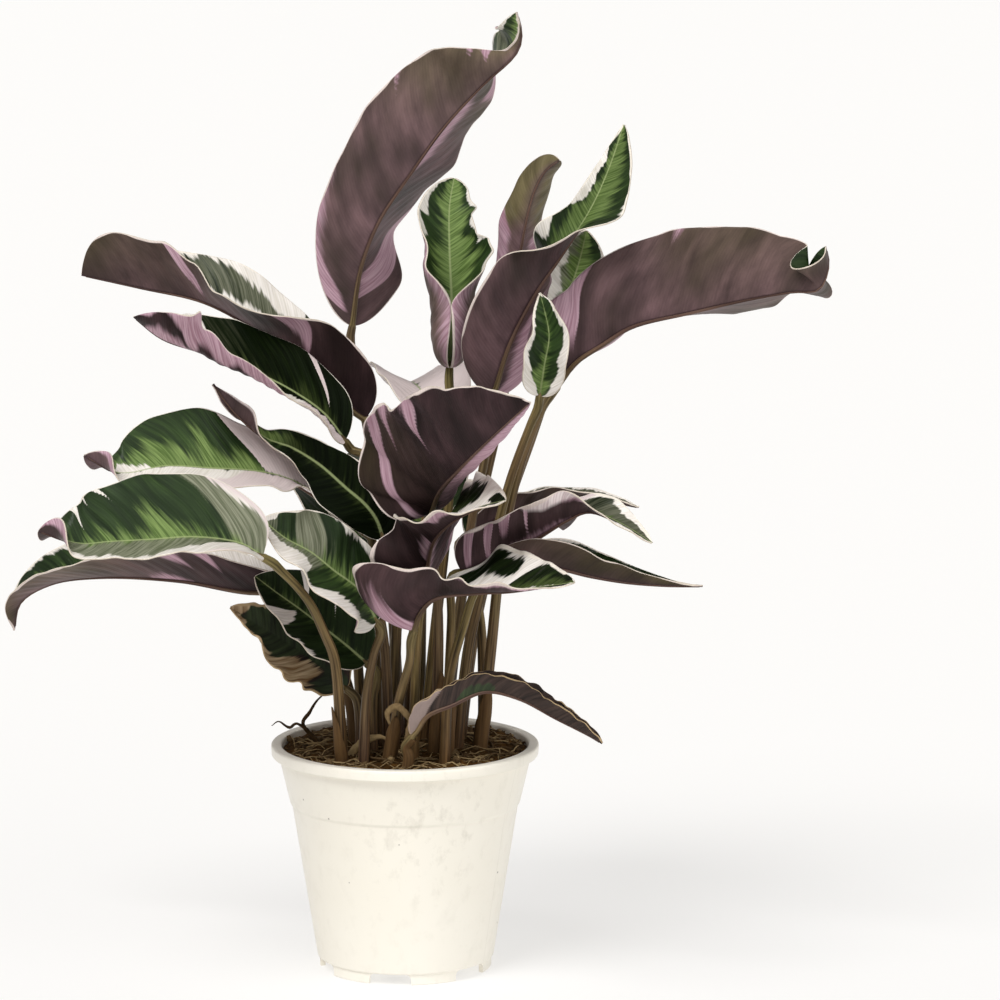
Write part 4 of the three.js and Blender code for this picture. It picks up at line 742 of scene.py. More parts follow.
# %% [markdown]
# ## The blades
# A blade is a sheet half a millimetre thick. A cloth simulation could fold it, but its folds would land anywhere,
# so a flat grid is bent onto the same rule as the CAD blade: each half leaves the midrib at its angle and bends on
# towards its edge. What the CAD model leaves out is added to the same surface: the corrugation along the side veins,
# a finer frill at the edge and a slightly uneven outline. Solidify then gives the sheet its thickness, its underside
# and its edge.

# %% Bend the blades
BLADE_THICKNESS = 0.55
ROWS, COLUMNS = 140, 56
BASE_HALF, TIP_HALF = 1.1, 0.7  # half of the width where the blade starts and at its very tip
CORRUGATION = 0.22  # how high the skin stands up along the main side veins
EDGE_FRILL, DRIED_FRILL = 0.9, 2.6  # how far the edge waves up and down
FRILL_LENGTH, WAVE_LENGTH = 9, 24  # of the frill's fine waves and of the wider ones under them
RAGGED, RAGGED_LENGTH = 0.025, 16  # how uneven every outline is, as a share of the half width
TATTERS, TATTER_LENGTH = 0.22, 4.5  # how far a dead leaf's outline is torn in, and how long the tears are
VEIN_LEAN, VEIN_SWEEP = 0.5, 0.25  # how far a side vein leans to the tip, and how much more it does at the edge
EDGE_CORD, CORD_LENGTH = 0.35, 13  # the pale edge's width, and how far apart it thins
LEAST_CORD = 0.15
WHITENING = 8  # how sharply the pale tint begins
FLATTEST = 1e-3  # a curl below this is taken as this, because the bend divides by it


def width_share(t, blunt, sharp):
    """Half of the blade's width at t, as a share of the widest."""
    widest = blunt / (blunt + sharp)
    return (t / widest) ** blunt * ((1 - t) / (1 - widest)) ** sharp


def upper_way(leaf, path, t):
    """Along the midrib at t, and the way that the upper side faces there."""
    along = path.heading(t)
    up = between(leaf["face"], t)[0]
    return along, (up - along * up.dot(along)).normalized()


def blade_piece(leaf, number):
    """One blade: a grid whose x runs from base to tip and y from the right edge to the left."""
    name, path = leaf["name"], Path(leaf["rib"])
    dried = leaf.get("withered", False)
    paint = (DRIED_PAINT if dried else PAINT)[name]
    frill = paint.get("frill", DRIED_FRILL if dried else EDGE_FRILL)
    height, count = leaf["wave"]
    seed = 17.3 * number
    bm = bmesh.new()
    layers = bm.verts.layers
    vein_layer = layers.float_vector.new("vein")
    paint_layer = layers.float_color.new("paint")
    tint_layer = layers.float_vector.new("tint")
    margin_layer = layers.float.new("margin")
    midrib_layer = layers.float.new("midrib")
    bmesh.ops.create_grid(bm, x_segments=ROWS, y_segments=COLUMNS, size=1)
    rows = {}
    for vert in bm.verts:
        # where the vertex is: t from base to tip, and reach from the midrib to the edge of its half
        t = (1 - math.cos(math.pi * (vert.co.x + 1) / 2)) / 2
        side, reach = -vert.co.y, abs(vert.co.y)
        half_name, one, phase = ("left", 0, 2) if side < 0 else ("right", -1, 0)
        key = round(vert.co.x, 5)
        if key not in rows:
            along, up = upper_way(leaf, path, t)
            rows[key] = (path.place(t), up, along.cross(up), between(leaf["left"], t), between(leaf["right"], t))
        place, up, right, *bends = rows[key]
        out_way = -right if side < 0 else right

        # the outline, and the fold and curl across it
        ragged = 1 + RAGGED * noise.noise(Vector((t * path.length / RAGGED_LENGTH, side, seed)))
        if dried:
            ragged += TATTERS * noise.noise(Vector((t * path.length / TATTER_LENGTH, side, seed)))
        ragged *= between(paint.get("trim", [[0, 1]]), t)[one]
        fold, curl, *share = bends[one]
        half = leaf["half"] * (share[0] if share else 1) * ragged * width_share(t, leaf["round"], leaf["sharp"])
        half = max(TIP_HALF if t > 0.5 else BASE_HALF, half)
        fold, curl = math.radians(fold), math.radians(curl)
        curl = curl if abs(curl) > FLATTEST else FLATTEST
        end = fold + curl * reach
        out = half * (math.sin(end) - math.sin(fold)) / curl
        rise = half * (math.cos(fold) - math.cos(end)) / curl

        # the waves: the leaf's own, the corrugation, and the edge's frill
        distance = reach * half
        vein = t * path.length - distance * (VEIN_LEAN + VEIN_SWEEP * reach)
        ends = math.sin(math.pi * t) ** 0.5
        ripple = height * reach**2 * math.sin(2 * math.pi * count * t + phase) * math.sin(math.pi * t)
        ripple += CORRUGATION * math.sin(2 * math.pi * vein / VEIN_GAP) * math.sin(math.pi * reach) * ends
        ripple += frill * ends * reach**4 * noise.noise(Vector((vein / FRILL_LENGTH, side * 2, seed)))
        ripple += 0.7 * frill * ends * reach**2 * noise.noise(Vector((vein / WAVE_LENGTH, side, seed + 5)))
        normal = up * math.cos(end) - out_way * math.sin(end)
        vert.co = place + out_way * out + up * rise + normal * ripple

        # what the materials read
        white, lime, silver, strip = between(paint[half_name], vein / path.length)
        thin = 0.5 + noise.noise(Vector((vein / CORD_LENGTH, side * 2, seed + 9)))
        cord = paint.get("cord", EDGE_CORD) * max(LEAST_CORD, min(1, 2.2 * thin - 0.55))
        olive = between(paint.get("olive", [[0, 0.05]]), t)[0] * (0.25 + 0.75 * reach)
        pale = WHITENING * (reach - between(paint.get("pale", [[0, 2]]), vein / path.length)[0])
        # painted shade: how far this half is darkened where the leaf lies in shade
        painted_shade = between(paint.get("painted_shade", [[0, 0]]), t)[one]
        vert[vein_layer] = Vector((vein + seed * 3, side * half, seed))
        vert[paint_layer] = (max(reach - white, strip - reach), lime - reach, silver, cord)
        vert[tint_layer] = Vector((min(olive, 1), min(max(pale, 0), 1), painted_shade))
        vert[margin_layer] = half * (1 - reach)
        vert[midrib_layer] = distance + 0.5 * t
    materials = [DRIED] * 3 if dried else [UPPER, UNDER, EDGE]
    piece = finish_piece("blade_" + name, bm, materials, "leaf_" + name)
    sheet = thicken(piece, BLADE_THICKNESS, 0)
    sheet.material_offset, sheet.material_offset_rim = 1, 2
    return path.length


lengths = [blade_piece(leaf, number) for number, leaf in enumerate(LEAVES)]
print("blades:", len(lengths), "longest, mm:", round(max(lengths)))

# %% [markdown]
# ## The stalks
# Each stalk rises from the peat, narrows, swells a little at the joint under the blade and runs on below it as the
# midrib. A curve with a bevel could draw it, but its radius would be hard to vary at the joint. So a plain tube is
# cut into rings, and each ring is moved to its place on the path with its own radius.

# %% A tube along a path
def tube(places, radii, sides):
    """A closed round tube through the places: its bmesh, and each vertex with its ring and its turn."""
    bm = bmesh.new()
    for kind, names in ((bm.verts.layers.float_vector, ("grow", "part")), (bm.verts.layers.float, ("tone",))):
        for name in names:
            kind.new(name)
    bmesh.ops.create_cone(bm, cap_ends=True, segments=sides, radius1=1, radius2=1, depth=2)
    rings = len(places)
    uprights = [e for e in bm.edges if abs(e.verts[0].co.z - e.verts[1].co.z) > 1]
    bmesh.ops.subdivide_edges(bm, edges=uprights, cuts=rings - 2)
    headings = []
    for k in range(rings):
        before, after = places[max(k - 1, 0)], places[min(k + 1, rings - 1)]
        headings.append((after - before).normalized())
    side = headings[0].orthogonal().normalized()
    sides_at = []
    for heading in headings:
        side = (side - heading * side.dot(heading)).normalized()
        sides_at.append(side)
    spots = []
    for vert in bm.verts:
        k = round((vert.co.z + 1) / 2 * (rings - 1))
        turn = math.atan2(vert.co.y, vert.co.x)
        other = headings[k].cross(sides_at[k])
        vert.co = places[k] + (sides_at[k] * math.cos(turn) + other * math.sin(turn)) * radii[k]
        spots.append((vert, k, turn))
    return bm, spots


# %% [markdown]
# A stalk's skin is olive-brown with long fibres, darker and redder at the foot, greener at the joint. It is drawn
# by noise that is stretched along the stalk; its coordinates are in millimetres too.

# %% The stalk's material
def fibre_noise(tree, scale, detail=4.0):
    """Noise drawn out along a stalk, whose coordinates are in its own millimetres."""
    grow = node(tree, "Attribute", attribute_name="grow").outputs["Vector"]
    drawn = node(tree, "Mapping", {"Vector": grow, "Scale": scale})
    return node(tree, "TexNoise", {"Vector": drawn, "Scale": 1.0, "Detail": detail})


def stalk_skin():
    """Smooth, fibrous stalk."""
    material, tree, shader = start_material("calathea stalk, smooth fibrous skin", 0.42, specular=0.18)
    part = node(tree, "Attribute", attribute_name="part").outputs["Vector"]
    kinds = node(tree, "SeparateXYZ", {0: part}).outputs
    fibres = fibre_noise(tree, (1.1, 1.1, 0.03))
    drawn = stretched(tree, fibres, 0.28, 0.72)
    body = layered(tree, "#271a09", (drawn, "#8b744a"))
    green = layered(tree, "#302b0e", (drawn, "#8d824f"))
    foot = layered(tree, "#180e06", (drawn, "#72522f"))
    rib = layered(tree, "#33201c", (drawn, "#745b4f"))
    clouds = fibre_noise(tree, (0.12, 0.12, 0.035), 2.0)
    blotches = node(tree, "MapRange", {"Value": clouds, "From Min": 0.45, "From Max": 0.6, "To Max": 0.5})
    colour = layered(tree, body, (blotches, green), (kinds[0], foot), (kinds[1], green), (kinds[2], rib))
    bump = node(tree, "Bump", {"Height": fibres, "Strength": 0.25, "Distance": 0.2 * MM})
    feed(tree, shader, {"Base Color": colour, "Normal": bump})
    return material


STALK = stalk_skin()

# %% Bend the stalks
SOIL_TOP = 99.5
STEM_FOOT_HEIGHT = 96.5
STEM_DEPTH = 20
STEM_FOOT_RADIUS, STEM_TOP_RADIUS = 2.9, 1.7
STEM_APPROACH, STEM_GAP = 6, 0.5  # the stalk's last two points, before the blade and in line with it
JOINT_SWELL, JOINT_LENGTH = 0.35, 12  # how much thicker the joint under the blade is, and its length
JOINT_GREEN, FOOT_BROWN = 14, 45  # how far the green of the joint and the brown of the foot reach
MOST_PLUM = 0.6
RIB_START, RIB_END = 1.35, 0.28  # the midrib's radius below the blade
RIB_SINK, RIB_SHOWN = 0.04, 0.12  # the share of its length in which it sinks under the blade, and what stays above
STEM_RINGS, RIB_RINGS, STEM_SIDES = 44, 40, 14
STALK_SHIFT = 40  # sets the fibres of one stalk apart from the next one's


def stem_path(leaf):
    """From inside the peat up to the blade, as in the CAD model."""
    base = Vector(leaf["rib"][0])
    inward = Path(leaf["rib"]).heading(0)
    foot = Vector((*leaf["foot"], STEM_FOOT_HEIGHT))
    lean = (Vector(leaf["stem"][0]) - foot).normalized()
    bottom = foot - lean * (STEM_DEPTH / lean.z)
    return Path([bottom, foot, *leaf["stem"], base - inward * STEM_APPROACH, base - inward * STEM_GAP])


def stem_radius(t):
    """The stalk's radius at t, from foot to joint."""
    return STEM_FOOT_RADIUS + (STEM_TOP_RADIUS - STEM_FOOT_RADIUS) * t


def stem_piece(leaf):
    """A stalk and the midrib that it becomes."""
    name, stem, rib = leaf["name"], stem_path(leaf), Path(leaf["rib"])
    places, radii, parts = [], [], []
    plum = random.Random(name).uniform(0, MOST_PLUM)  # some stalks are more plum-coloured than others
    for k in range(STEM_RINGS):
        t = 1 - (1 - k / (STEM_RINGS - 1)) ** 1.3  # closer rings towards the joint
        left = (1 - t) * stem.length
        swell = JOINT_SWELL * math.exp(-((left - JOINT_LENGTH / 2) / (JOINT_LENGTH / 2)) ** 2)
        places.append(stem.place(t))
        radii.append(stem_radius(t) + swell)
        brown = 0.9 * max(0, 1 - (places[-1].z - SOIL_TOP) / FOOT_BROWN)
        parts.append((brown, 0.8 * math.exp(-((left / JOINT_GREEN) ** 2)), plum))
    for k in range(RIB_RINGS):
        t = 0.006 + 0.98 * k / (RIB_RINGS - 1)
        radius = RIB_START + (RIB_END - RIB_START) * t**0.6
        sunk = min(1, t / RIB_SINK) * (radius - RIB_SHOWN)
        places.append(rib.place(t) - upper_way(leaf, rib, t)[1] * sunk)
        radii.append(radius)
        parts.append((0, max(0, 0.7 - 6 * t), min(1, 0.3 + 3 * t)))
    bm, spots = tube(places, radii, STEM_SIDES)
    grow_layer, part_layer = (bm.verts.layers.float_vector[layer] for layer in ("grow", "part"))
    runs = reached_lengths(places)
    offset = STALK_SHIFT * len(name)
    for vert, k, turn in spots:
        vert[grow_layer] = Vector((math.cos(turn) * radii[k] + offset, math.sin(turn) * radii[k], runs[k]))
        vert[part_layer] = Vector(parts[k])
    finish_piece("stalk_" + name, bm, [STALK], "stem_" + name)
    return runs[-1]


runs = [stem_piece(leaf) for leaf in LEAVES]
print("stalks:", len(runs), "longest with its midrib, mm:", round(max(runs)))

# %% [markdown]
# ## The pot
# It is a thin-walled nursery pot, moulded in cream-white polypropylene: a rolled rim band, a stacking step a quarter
# of the way down, a slightly tapered wall and a foot ring with six notches. A spin of one outline makes it round in
# one go; the outline's corners are rounded first, because no moulded edge is sharp.

# %% Spin the pot
POT_HEIGHT = 102
RIM_RADIUS, RIM_HEIGHT = 60, 5
UNDER_RIM = 56.6
UNDER_RIM_HEIGHT = POT_HEIGHT - RIM_HEIGHT
WALL = 1.4
STEP_HEIGHT, STEP_DEPTH, STEP_RADIUS = 75, 0.9, 51.6
STEP_SLOPE = 0.8  # half of the height that the step's inner side takes
FOOT_HEIGHT, FOOT_RADIUS, FOOT_WALL = 5, 38.6, 2.4
BODY_FOOT_RADIUS = 39.6
FLOOR_THICKNESS = 1.8
TURN_STEPS, CORNER_STEPS = 160, 4
CORNER_REACH = 0.45  # the most of a side that a rounded corner takes
MERGE = 1e-4


def inner_radius(z):
    """The pot's inside at a height; it goes straight up through the rim."""
    z = min(z, UNDER_RIM_HEIGHT)
    low, high = (FOOT_HEIGHT, BODY_FOOT_RADIUS), (STEP_HEIGHT, STEP_RADIUS - STEP_DEPTH)
    if z >= STEP_HEIGHT:
        low, high = (STEP_HEIGHT, STEP_RADIUS), (UNDER_RIM_HEIGHT, UNDER_RIM)
    return low[1] + (high[1] - low[1]) * (z - low[0]) / (high[0] - low[0]) - WALL


def rounded(corners):
    """An outline in the plane y = 0 with its corners rounded; a corner is (radius, height, rounding)."""
    spots = []
    for k, (r, z, rounding) in enumerate(corners):
        corner = Vector((r, 0, z))
        if rounding == 0 or k in (0, len(corners) - 1):
            spots.append(corner)
            continue
        before, after = (Vector((corners[j][0], 0, corners[j][1])) - corner for j in (k - 1, k + 1))
        start, end = (way.normalized() * min(rounding, way.length * CORNER_REACH) for way in (before, after))
        for j in range(CORNER_STEPS + 1):
            w = j / CORNER_STEPS
            spots.append(corner + start * (1 - w) ** 2 + end * w**2)
    return spots


def spun(corners):
    """A bmesh of the outline turned all the way round."""
    bm = bmesh.new()
    spots = [bm.verts.new(spot) for spot in rounded(corners)]
    lines = [bm.edges.new(pair) for pair in zip(spots, spots[1:])]
    bmesh.ops.spin(bm, geom=spots + lines, cent=(0, 0, 0), axis=(0, 0, 1), dvec=(0, 0, 0), angle=2 * math.pi,
                   steps=TURN_STEPS, use_merge=True, use_duplicate=False)
    bmesh.ops.remove_doubles(bm, verts=bm.verts, dist=MERGE)
    bmesh.ops.recalc_face_normals(bm, faces=bm.faces)
    return bm


floor_top = FOOT_HEIGHT + FLOOR_THICKNESS
POT_OUTLINE = [
    (0, FOOT_HEIGHT, 0),
    (FOOT_RADIUS - FOOT_WALL, FOOT_HEIGHT, 0.5),
    (FOOT_RADIUS - FOOT_WALL, 0, 0.5),
    (FOOT_RADIUS, 0, 0.6),
    (FOOT_RADIUS, FOOT_HEIGHT - 0.2, 0.3),
    (BODY_FOOT_RADIUS, FOOT_HEIGHT + 0.2, 0.6),
    (STEP_RADIUS - STEP_DEPTH, STEP_HEIGHT - 0.4, 0.5),
    (STEP_RADIUS, STEP_HEIGHT + 0.6, 0.5),
    (UNDER_RIM, UNDER_RIM_HEIGHT, 0.5),
    (RIM_RADIUS - 0.3, UNDER_RIM_HEIGHT, 0.7),
    (RIM_RADIUS, POT_HEIGHT, 1.3),
    (UNDER_RIM - WALL, POT_HEIGHT, 1.2),
    (inner_radius(UNDER_RIM_HEIGHT), UNDER_RIM_HEIGHT, 0.5),
    (inner_radius(STEP_HEIGHT + STEP_SLOPE), STEP_HEIGHT + STEP_SLOPE, 0.4),
    (inner_radius(STEP_HEIGHT - STEP_SLOPE), STEP_HEIGHT - STEP_SLOPE, 0.4),
    (inner_radius(floor_top), floor_top, 1.0),
    (0, floor_top, 0),
]
pot_mesh = spun(POT_OUTLINE)
print("pot faces before the notches:", len(pot_mesh.faces))

# %% [markdown]
# The notches and the drain holes are cut with a Boolean, which keeps the wall closed. The cutters are made here and
# thrown away again. A notch's upper corners are round, as the mould's are.

# %% Cut the notches and the drain holes
NOTCH_COUNT, NOTCH_WIDTH = 6, 19
NOTCH_DEPTH, NOTCH_BLOCK, NOTCH_ROUNDING = 11, 9.6, 2.6  # half of the block's height is the notch's
FRONT_NOTCH = math.radians(-99.5)
DRAIN_RADIUS, DRAIN_RING, DRAIN_DEPTH = 4, 27, 8
SHARPEST = math.radians(32)  # edges above this angle stay sharp

cutters = bmesh.new()
for k in range(NOTCH_COUNT):
    turn = Matrix.Rotation(FRONT_NOTCH + 2 * math.pi * k / NOTCH_COUNT, 3, "Z")
    block = bmesh.ops.create_cube(cutters, size=1)["verts"]
    bmesh.ops.scale(cutters, vec=(NOTCH_DEPTH, NOTCH_WIDTH, NOTCH_BLOCK), verts=block)
    tops = [e for e in {e for v in block for e in v.link_edges}
            if all(v.co.z > 0 for v in e.verts) and abs(e.verts[0].co.x - e.verts[1].co.x) > 1]
    cut = bmesh.ops.bevel(cutters, geom=tops, offset=NOTCH_ROUNDING, segments=6, profile=0.5, affect="EDGES",
                          material=-1)
    block = list({v for v in block if v.is_valid} | set(cut["verts"]))
    bmesh.ops.translate(cutters, vec=(FOOT_RADIUS, 0, 0), verts=block)
    hole = bmesh.ops.create_cone(cutters, cap_ends=True, segments=32, radius1=DRAIN_RADIUS, radius2=DRAIN_RADIUS,
                                 depth=DRAIN_DEPTH)["verts"]
    bmesh.ops.translate(cutters, vec=(DRAIN_RING, 0, FOOT_HEIGHT + FLOOR_THICKNESS / 2), verts=hole)
    bmesh.ops.rotate(cutters, cent=(0, 0, 0), matrix=turn, verts=block + hole)
for bm in (pot_mesh, cutters):
    bmesh.ops.scale(bm, vec=(MM, MM, MM), verts=bm.verts)
whole = add_object("whole_pot", mesh_of("whole_pot", pot_mesh))
cutter = add_object("notch_cutter", mesh_of("notch_cutter", cutters))
cut = whole.modifiers.new("notches", "BOOLEAN")
cut.object, cut.operation, cut.solver = cutter, "DIFFERENCE", "EXACT"
bpy.context.view_layer.update()
pot_data = bpy.data.meshes.new_from_object(whole.evaluated_get(bpy.context.evaluated_depsgraph_get()))
for spare in (whole, cutter):
    bpy.data.objects.remove(spare)
print("pot faces with the notches:", len(pot_data.polygons))

# %% [markdown]
# Polypropylene is a soft, slightly waxy plastic: a broad sheen and no sharp reflection. The pot has been handled, so
# it has faint grey scuffs, more of them round one spot, a few specks of peat, and the fine line where the mould's
# halves met.

# %% The pot's material
MOULD_LINE = math.radians(-28)  # where the mould line runs down the wall, well to the right of the front
SCUFFED_SPOT = Vector((10, -50, 74)) * MM  # the wall is most rubbed round here
SCUFFED_NEAR, SCUFFED_FAR = 12 * MM, 42 * MM
RARE_SPECKS = 0.72  # the share of the cells that stay clean


def mould_line(tree, place):
    """A mask of one fine upright line on the wall."""
    across = (-math.sin(MOULD_LINE), math.cos(MOULD_LINE), 0)
    along = (math.cos(MOULD_LINE), math.sin(MOULD_LINE), 0)
    off = node(tree, "VectorMath", {0: place, 1: across}, operation="DOT_PRODUCT").outputs["Value"]
    off = node(tree, "Math", {0: off}, operation="ABSOLUTE")
    line = node(tree, "MapRange", {"Value": off, "From Min": 0.45 * MM, "From Max": 0.15 * MM})
    ahead = node(tree, "VectorMath", {0: place, 1: along}, operation="DOT_PRODUCT").outputs["Value"]
    ahead = node(tree, "Math", {0: ahead, 1: 0.0}, operation="GREATER_THAN")
    return node(tree, "Math", {0: line, 1: ahead}, operation="MULTIPLY")


def pot_plastic():
    """Moulded cream-white polypropylene, lightly scuffed."""
    material, tree, shader = start_material("polypropylene, moulded cream white", 0.4, 1.49)
    place = node(tree, "TexCoord").outputs["Object"]
    upright = node(tree, "Mapping", {"Vector": place, "Scale": (170, 170, 110)})
    scuffs = node(tree, "TexNoise", {"Vector": upright, "Scale": 1.0, "Detail": 5.0, "Roughness": 0.65})
    clouds = node(tree, "TexNoise", {"Vector": place, "Scale": 16.0, "Detail": 2.0})
    cells = node(tree, "TexVoronoi", {"Vector": place, "Scale": 95.0}, feature="F1").outputs
    near = node(tree, "MapRange", {"Value": cells["Distance"], "From Min": 0.06, "From Max": 0.03})
    rare = node(tree, "SeparateColor", {0: cells["Color"]}).outputs[0]
    rare = node(tree, "Math", {0: rare, 1: RARE_SPECKS}, operation="GREATER_THAN")
    specks = node(tree, "Math", {0: near, 1: rare}, operation="MULTIPLY")
    line = mould_line(tree, place)
    far = node(tree, "VectorMath", {0: place, 1: SCUFFED_SPOT}, operation="DISTANCE").outputs["Value"]
    ends = {"Value": far, "From Min": SCUFFED_FAR, "From Max": SCUFFED_NEAR, "To Min": 0.25}
    patches = node(tree, "MapRange", ends)
    grey = node(tree, "MapRange", {"Value": scuffs, "From Min": 0.52, "From Max": 0.75, "To Max": 0.65})
    grey = node(tree, "Math", {0: grey, 1: patches}, operation="MULTIPLY")
    seam = node(tree, "Math", {0: line, 1: 0.12}, operation="MULTIPLY")
    stain = node(tree, "Math", {0: specks, 1: 0.75}, operation="MULTIPLY")
    body = layered(tree, "#efe9da", (clouds, "#f8f4ea"))
    colour = layered(tree, body, (grey, "#cfc9bb"), (seam, "#b9b2a2"), (stain, "#5a4a3a"))
    ends = {"Value": scuffs, "From Min": 0.4, "From Max": 0.7, "To Min": 0.34, "To Max": 0.55}
    gloss = node(tree, "MapRange", ends)
    height = node(tree, "Math", {0: line, 1: 0.8, 2: scuffs}, operation="MULTIPLY_ADD")
    bump = node(tree, "Bump", {"Height": height, "Strength": 0.25, "Distance": 0.1 * MM})
    feed(tree, shader, {"Base Color": colour, "Roughness": gloss, "Normal": bump})
    return material


pot_data.name = "pot_shell"
for face in pot_data.polygons:
    face.use_smooth = True
pot_data.set_sharp_from_angle(angle=SHARPEST)
pot_data.materials.clear()
pot_data.materials.append(pot_plastic())
pot = add_object("pot_shell", pot_data)
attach(pot, "root")
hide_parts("pot")
print("pot height, mm:", round(pot.dimensions.z / MM, 1))

# %% [markdown]
# ## The peat
# The pot is full of peat and coir: crumbs of all sizes, dark hollows, and pale straw-like fibres that lie in all
# directions. The plug is spun as the pot is, and its top is pushed up and down by noise of three sizes. Loose crumbs
# and fibres then lie on it, because noise alone never looks loose.

# %% Spin the peat
SOIL_MOUND = 2.2
SOIL_GAP = 0.3
SOIL_EDGE = 1  # how far below its top the peat meets the wall
TOP_RINGS = 44
EDGE_CALM, CALM_FALL = 0.25, 14  # how much of the clods is left at the wall, and how fast they grow from there
# the three noises of the top: how high, how long, and a seed
CLODS = [(1.5, 13, 4), (1.3, 5.2, 9), (0.8, 2.3, 2)]
bottom = floor_top + SOIL_GAP
edge = inner_radius(SOIL_TOP - SOIL_EDGE) - SOIL_GAP
soil_outline = [(0, bottom, 0), (inner_radius(bottom) - SOIL_GAP, bottom, 0.5)]
steps_up = (STEP_HEIGHT - STEP_SLOPE, STEP_HEIGHT + STEP_SLOPE, UNDER_RIM_HEIGHT)
soil_outline += [(inner_radius(z) - SOIL_GAP, z, 0.3) for z in steps_up]
soil_outline += [(edge, SOIL_TOP - SOIL_EDGE, 0)]
for k in range(1, TOP_RINGS + 1):
    share = 1 - k / TOP_RINGS
    soil_outline.append((edge * share, SOIL_TOP + SOIL_MOUND * (1 - share**2), 0))


def soil_height(x, y):
    """How high the peat's top is at a place, with its clods and hollows."""
    share = min(math.hypot(x, y) / edge, 1)
    bump = sum(high * noise.noise(Vector((x / long, y / long, seed))) for high, long, seed in CLODS)
    return SOIL_TOP + SOIL_MOUND * (1 - share**2) + bump * min(1, (1 - share) * CALM_FALL + EDGE_CALM)


soil_mesh = spun(soil_outline)
for vert in soil_mesh.verts:
    if vert.co.z > SOIL_TOP - SOIL_EDGE / 2:
        vert.co.z = soil_height(vert.co.x, vert.co.y)


def peat():
    """Damp peat and coir dust."""
    material, tree, shader = start_material("peat, damp and fibrous", 0.95, specular=0.15)
    place = node(tree, "TexCoord").outputs["Object"]
    crumbs = node(tree, "TexNoise", {"Vector": place, "Scale": 420.0, "Detail": 6.0, "Roughness": 0.7})
    patches = node(tree, "TexNoise", {"Vector": place, "Scale": 95.0, "Detail": 3.0})
    crumbs = stretched(tree, crumbs, 0.3, 0.7)
    mask = stretched(tree, patches, 0.42, 0.6)
    brown, red = layered(tree, "#1e1103", (crumbs, "#5a3d16")), layered(tree, "#2c1907", (crumbs, "#735022"))
    bump = node(tree, "Bump", {"Height": crumbs, "Strength": 1.0, "Distance": 1.2 * MM})
    feed(tree, shader, {"Base Color": layered(tree, brown, (mask, red)), "Normal": bump})
    return material


PEAT = peat()
soil = finish_piece("peat_plug", soil_mesh, [PEAT], "soil")
print("peat triangles:", sum(len(face.vertices) - 2 for face in soil.data.polygons))

# %% [markdown]
# ## Crumbs, coir and roots
# Crumbs are small faceted lumps, squashed and turned at random. Coir fibres are thin bent tubes of few faces, since
# there are hundreds. Each carries a tone between dark bark and pale straw.

# %% Scatter crumbs and coir
CRUMBS, FIBRES = 420, 260
FIBRE_SHAPE = (0.5, 0.9, 1, 1, 0.8, 0.4)  # a fibre's thickness from end to end, as a share of the thickest
FIBRE_SIDES = 4
WALL_ROOM = 0.8  # how far the fibres stay from the wall
ANY_TURN = 6.3
dice = random.Random(41)


def loose_stuff():
    """Crumbs of bark and threads of coir."""
    material, tree, shader = start_material("coir and bark, dry", 0.85, specular=0.2)
    tone = node(tree, "Attribute", attribute_name="tone").outputs["Fac"]
    place = node(tree, "TexCoord").outputs["Object"]
    grain = node(tree, "TexNoise", {"Vector": place, "Scale": 600.0, "Detail": 3.0})
    dark, straw = layered(tree, "#1d1207", (grain, "#553d21")), layered(tree, "#8a7048", (grain, "#c9b083"))
    feed(tree, shader, {"Base Color": layered(tree, dark, (tone, straw))})
    return material


def dropped(least, most):
    """A random place on the peat, between two shares of its area."""
    turn, out = dice.uniform(0, 2 * math.pi), edge * math.sqrt(dice.uniform(least, most))
    return out * math.cos(turn), out * math.sin(turn)


LOOSE = loose_stuff()
crumb_mesh = bmesh.new()
tone_layer = crumb_mesh.verts.layers.float.new("tone")
for k in range(CRUMBS):
    x, y = dropped(0.02, 0.98)
    size = dice.uniform(0.5, 1.3) if k % 9 else dice.uniform(1.4, 2.6)
    lump = bmesh.ops.create_icosphere(crumb_mesh, subdivisions=1, radius=size)["verts"]
    flat = Matrix.Diagonal((dice.uniform(0.8, 1.6), dice.uniform(0.6, 1.1), dice.uniform(0.4, 0.8)))
    twist = Euler((dice.uniform(-0.5, 0.5), dice.uniform(-0.5, 0.5), dice.uniform(0, ANY_TURN))).to_matrix()
    tone = dice.uniform(0, 0.25) if k % 7 else dice.uniform(0.4, 0.8)
    for vert in lump:
        rough = 1 + 0.5 * noise.noise(vert.co * 1.7 + Vector((k, 0, 0)))
        vert.co = twist @ (flat @ (vert.co * rough)) + Vector((x, y, soil_height(x, y) + 0.2 * size))
        vert[tone_layer] = tone
finish_piece("peat_crumbs", crumb_mesh, [LOOSE], smooth=False)

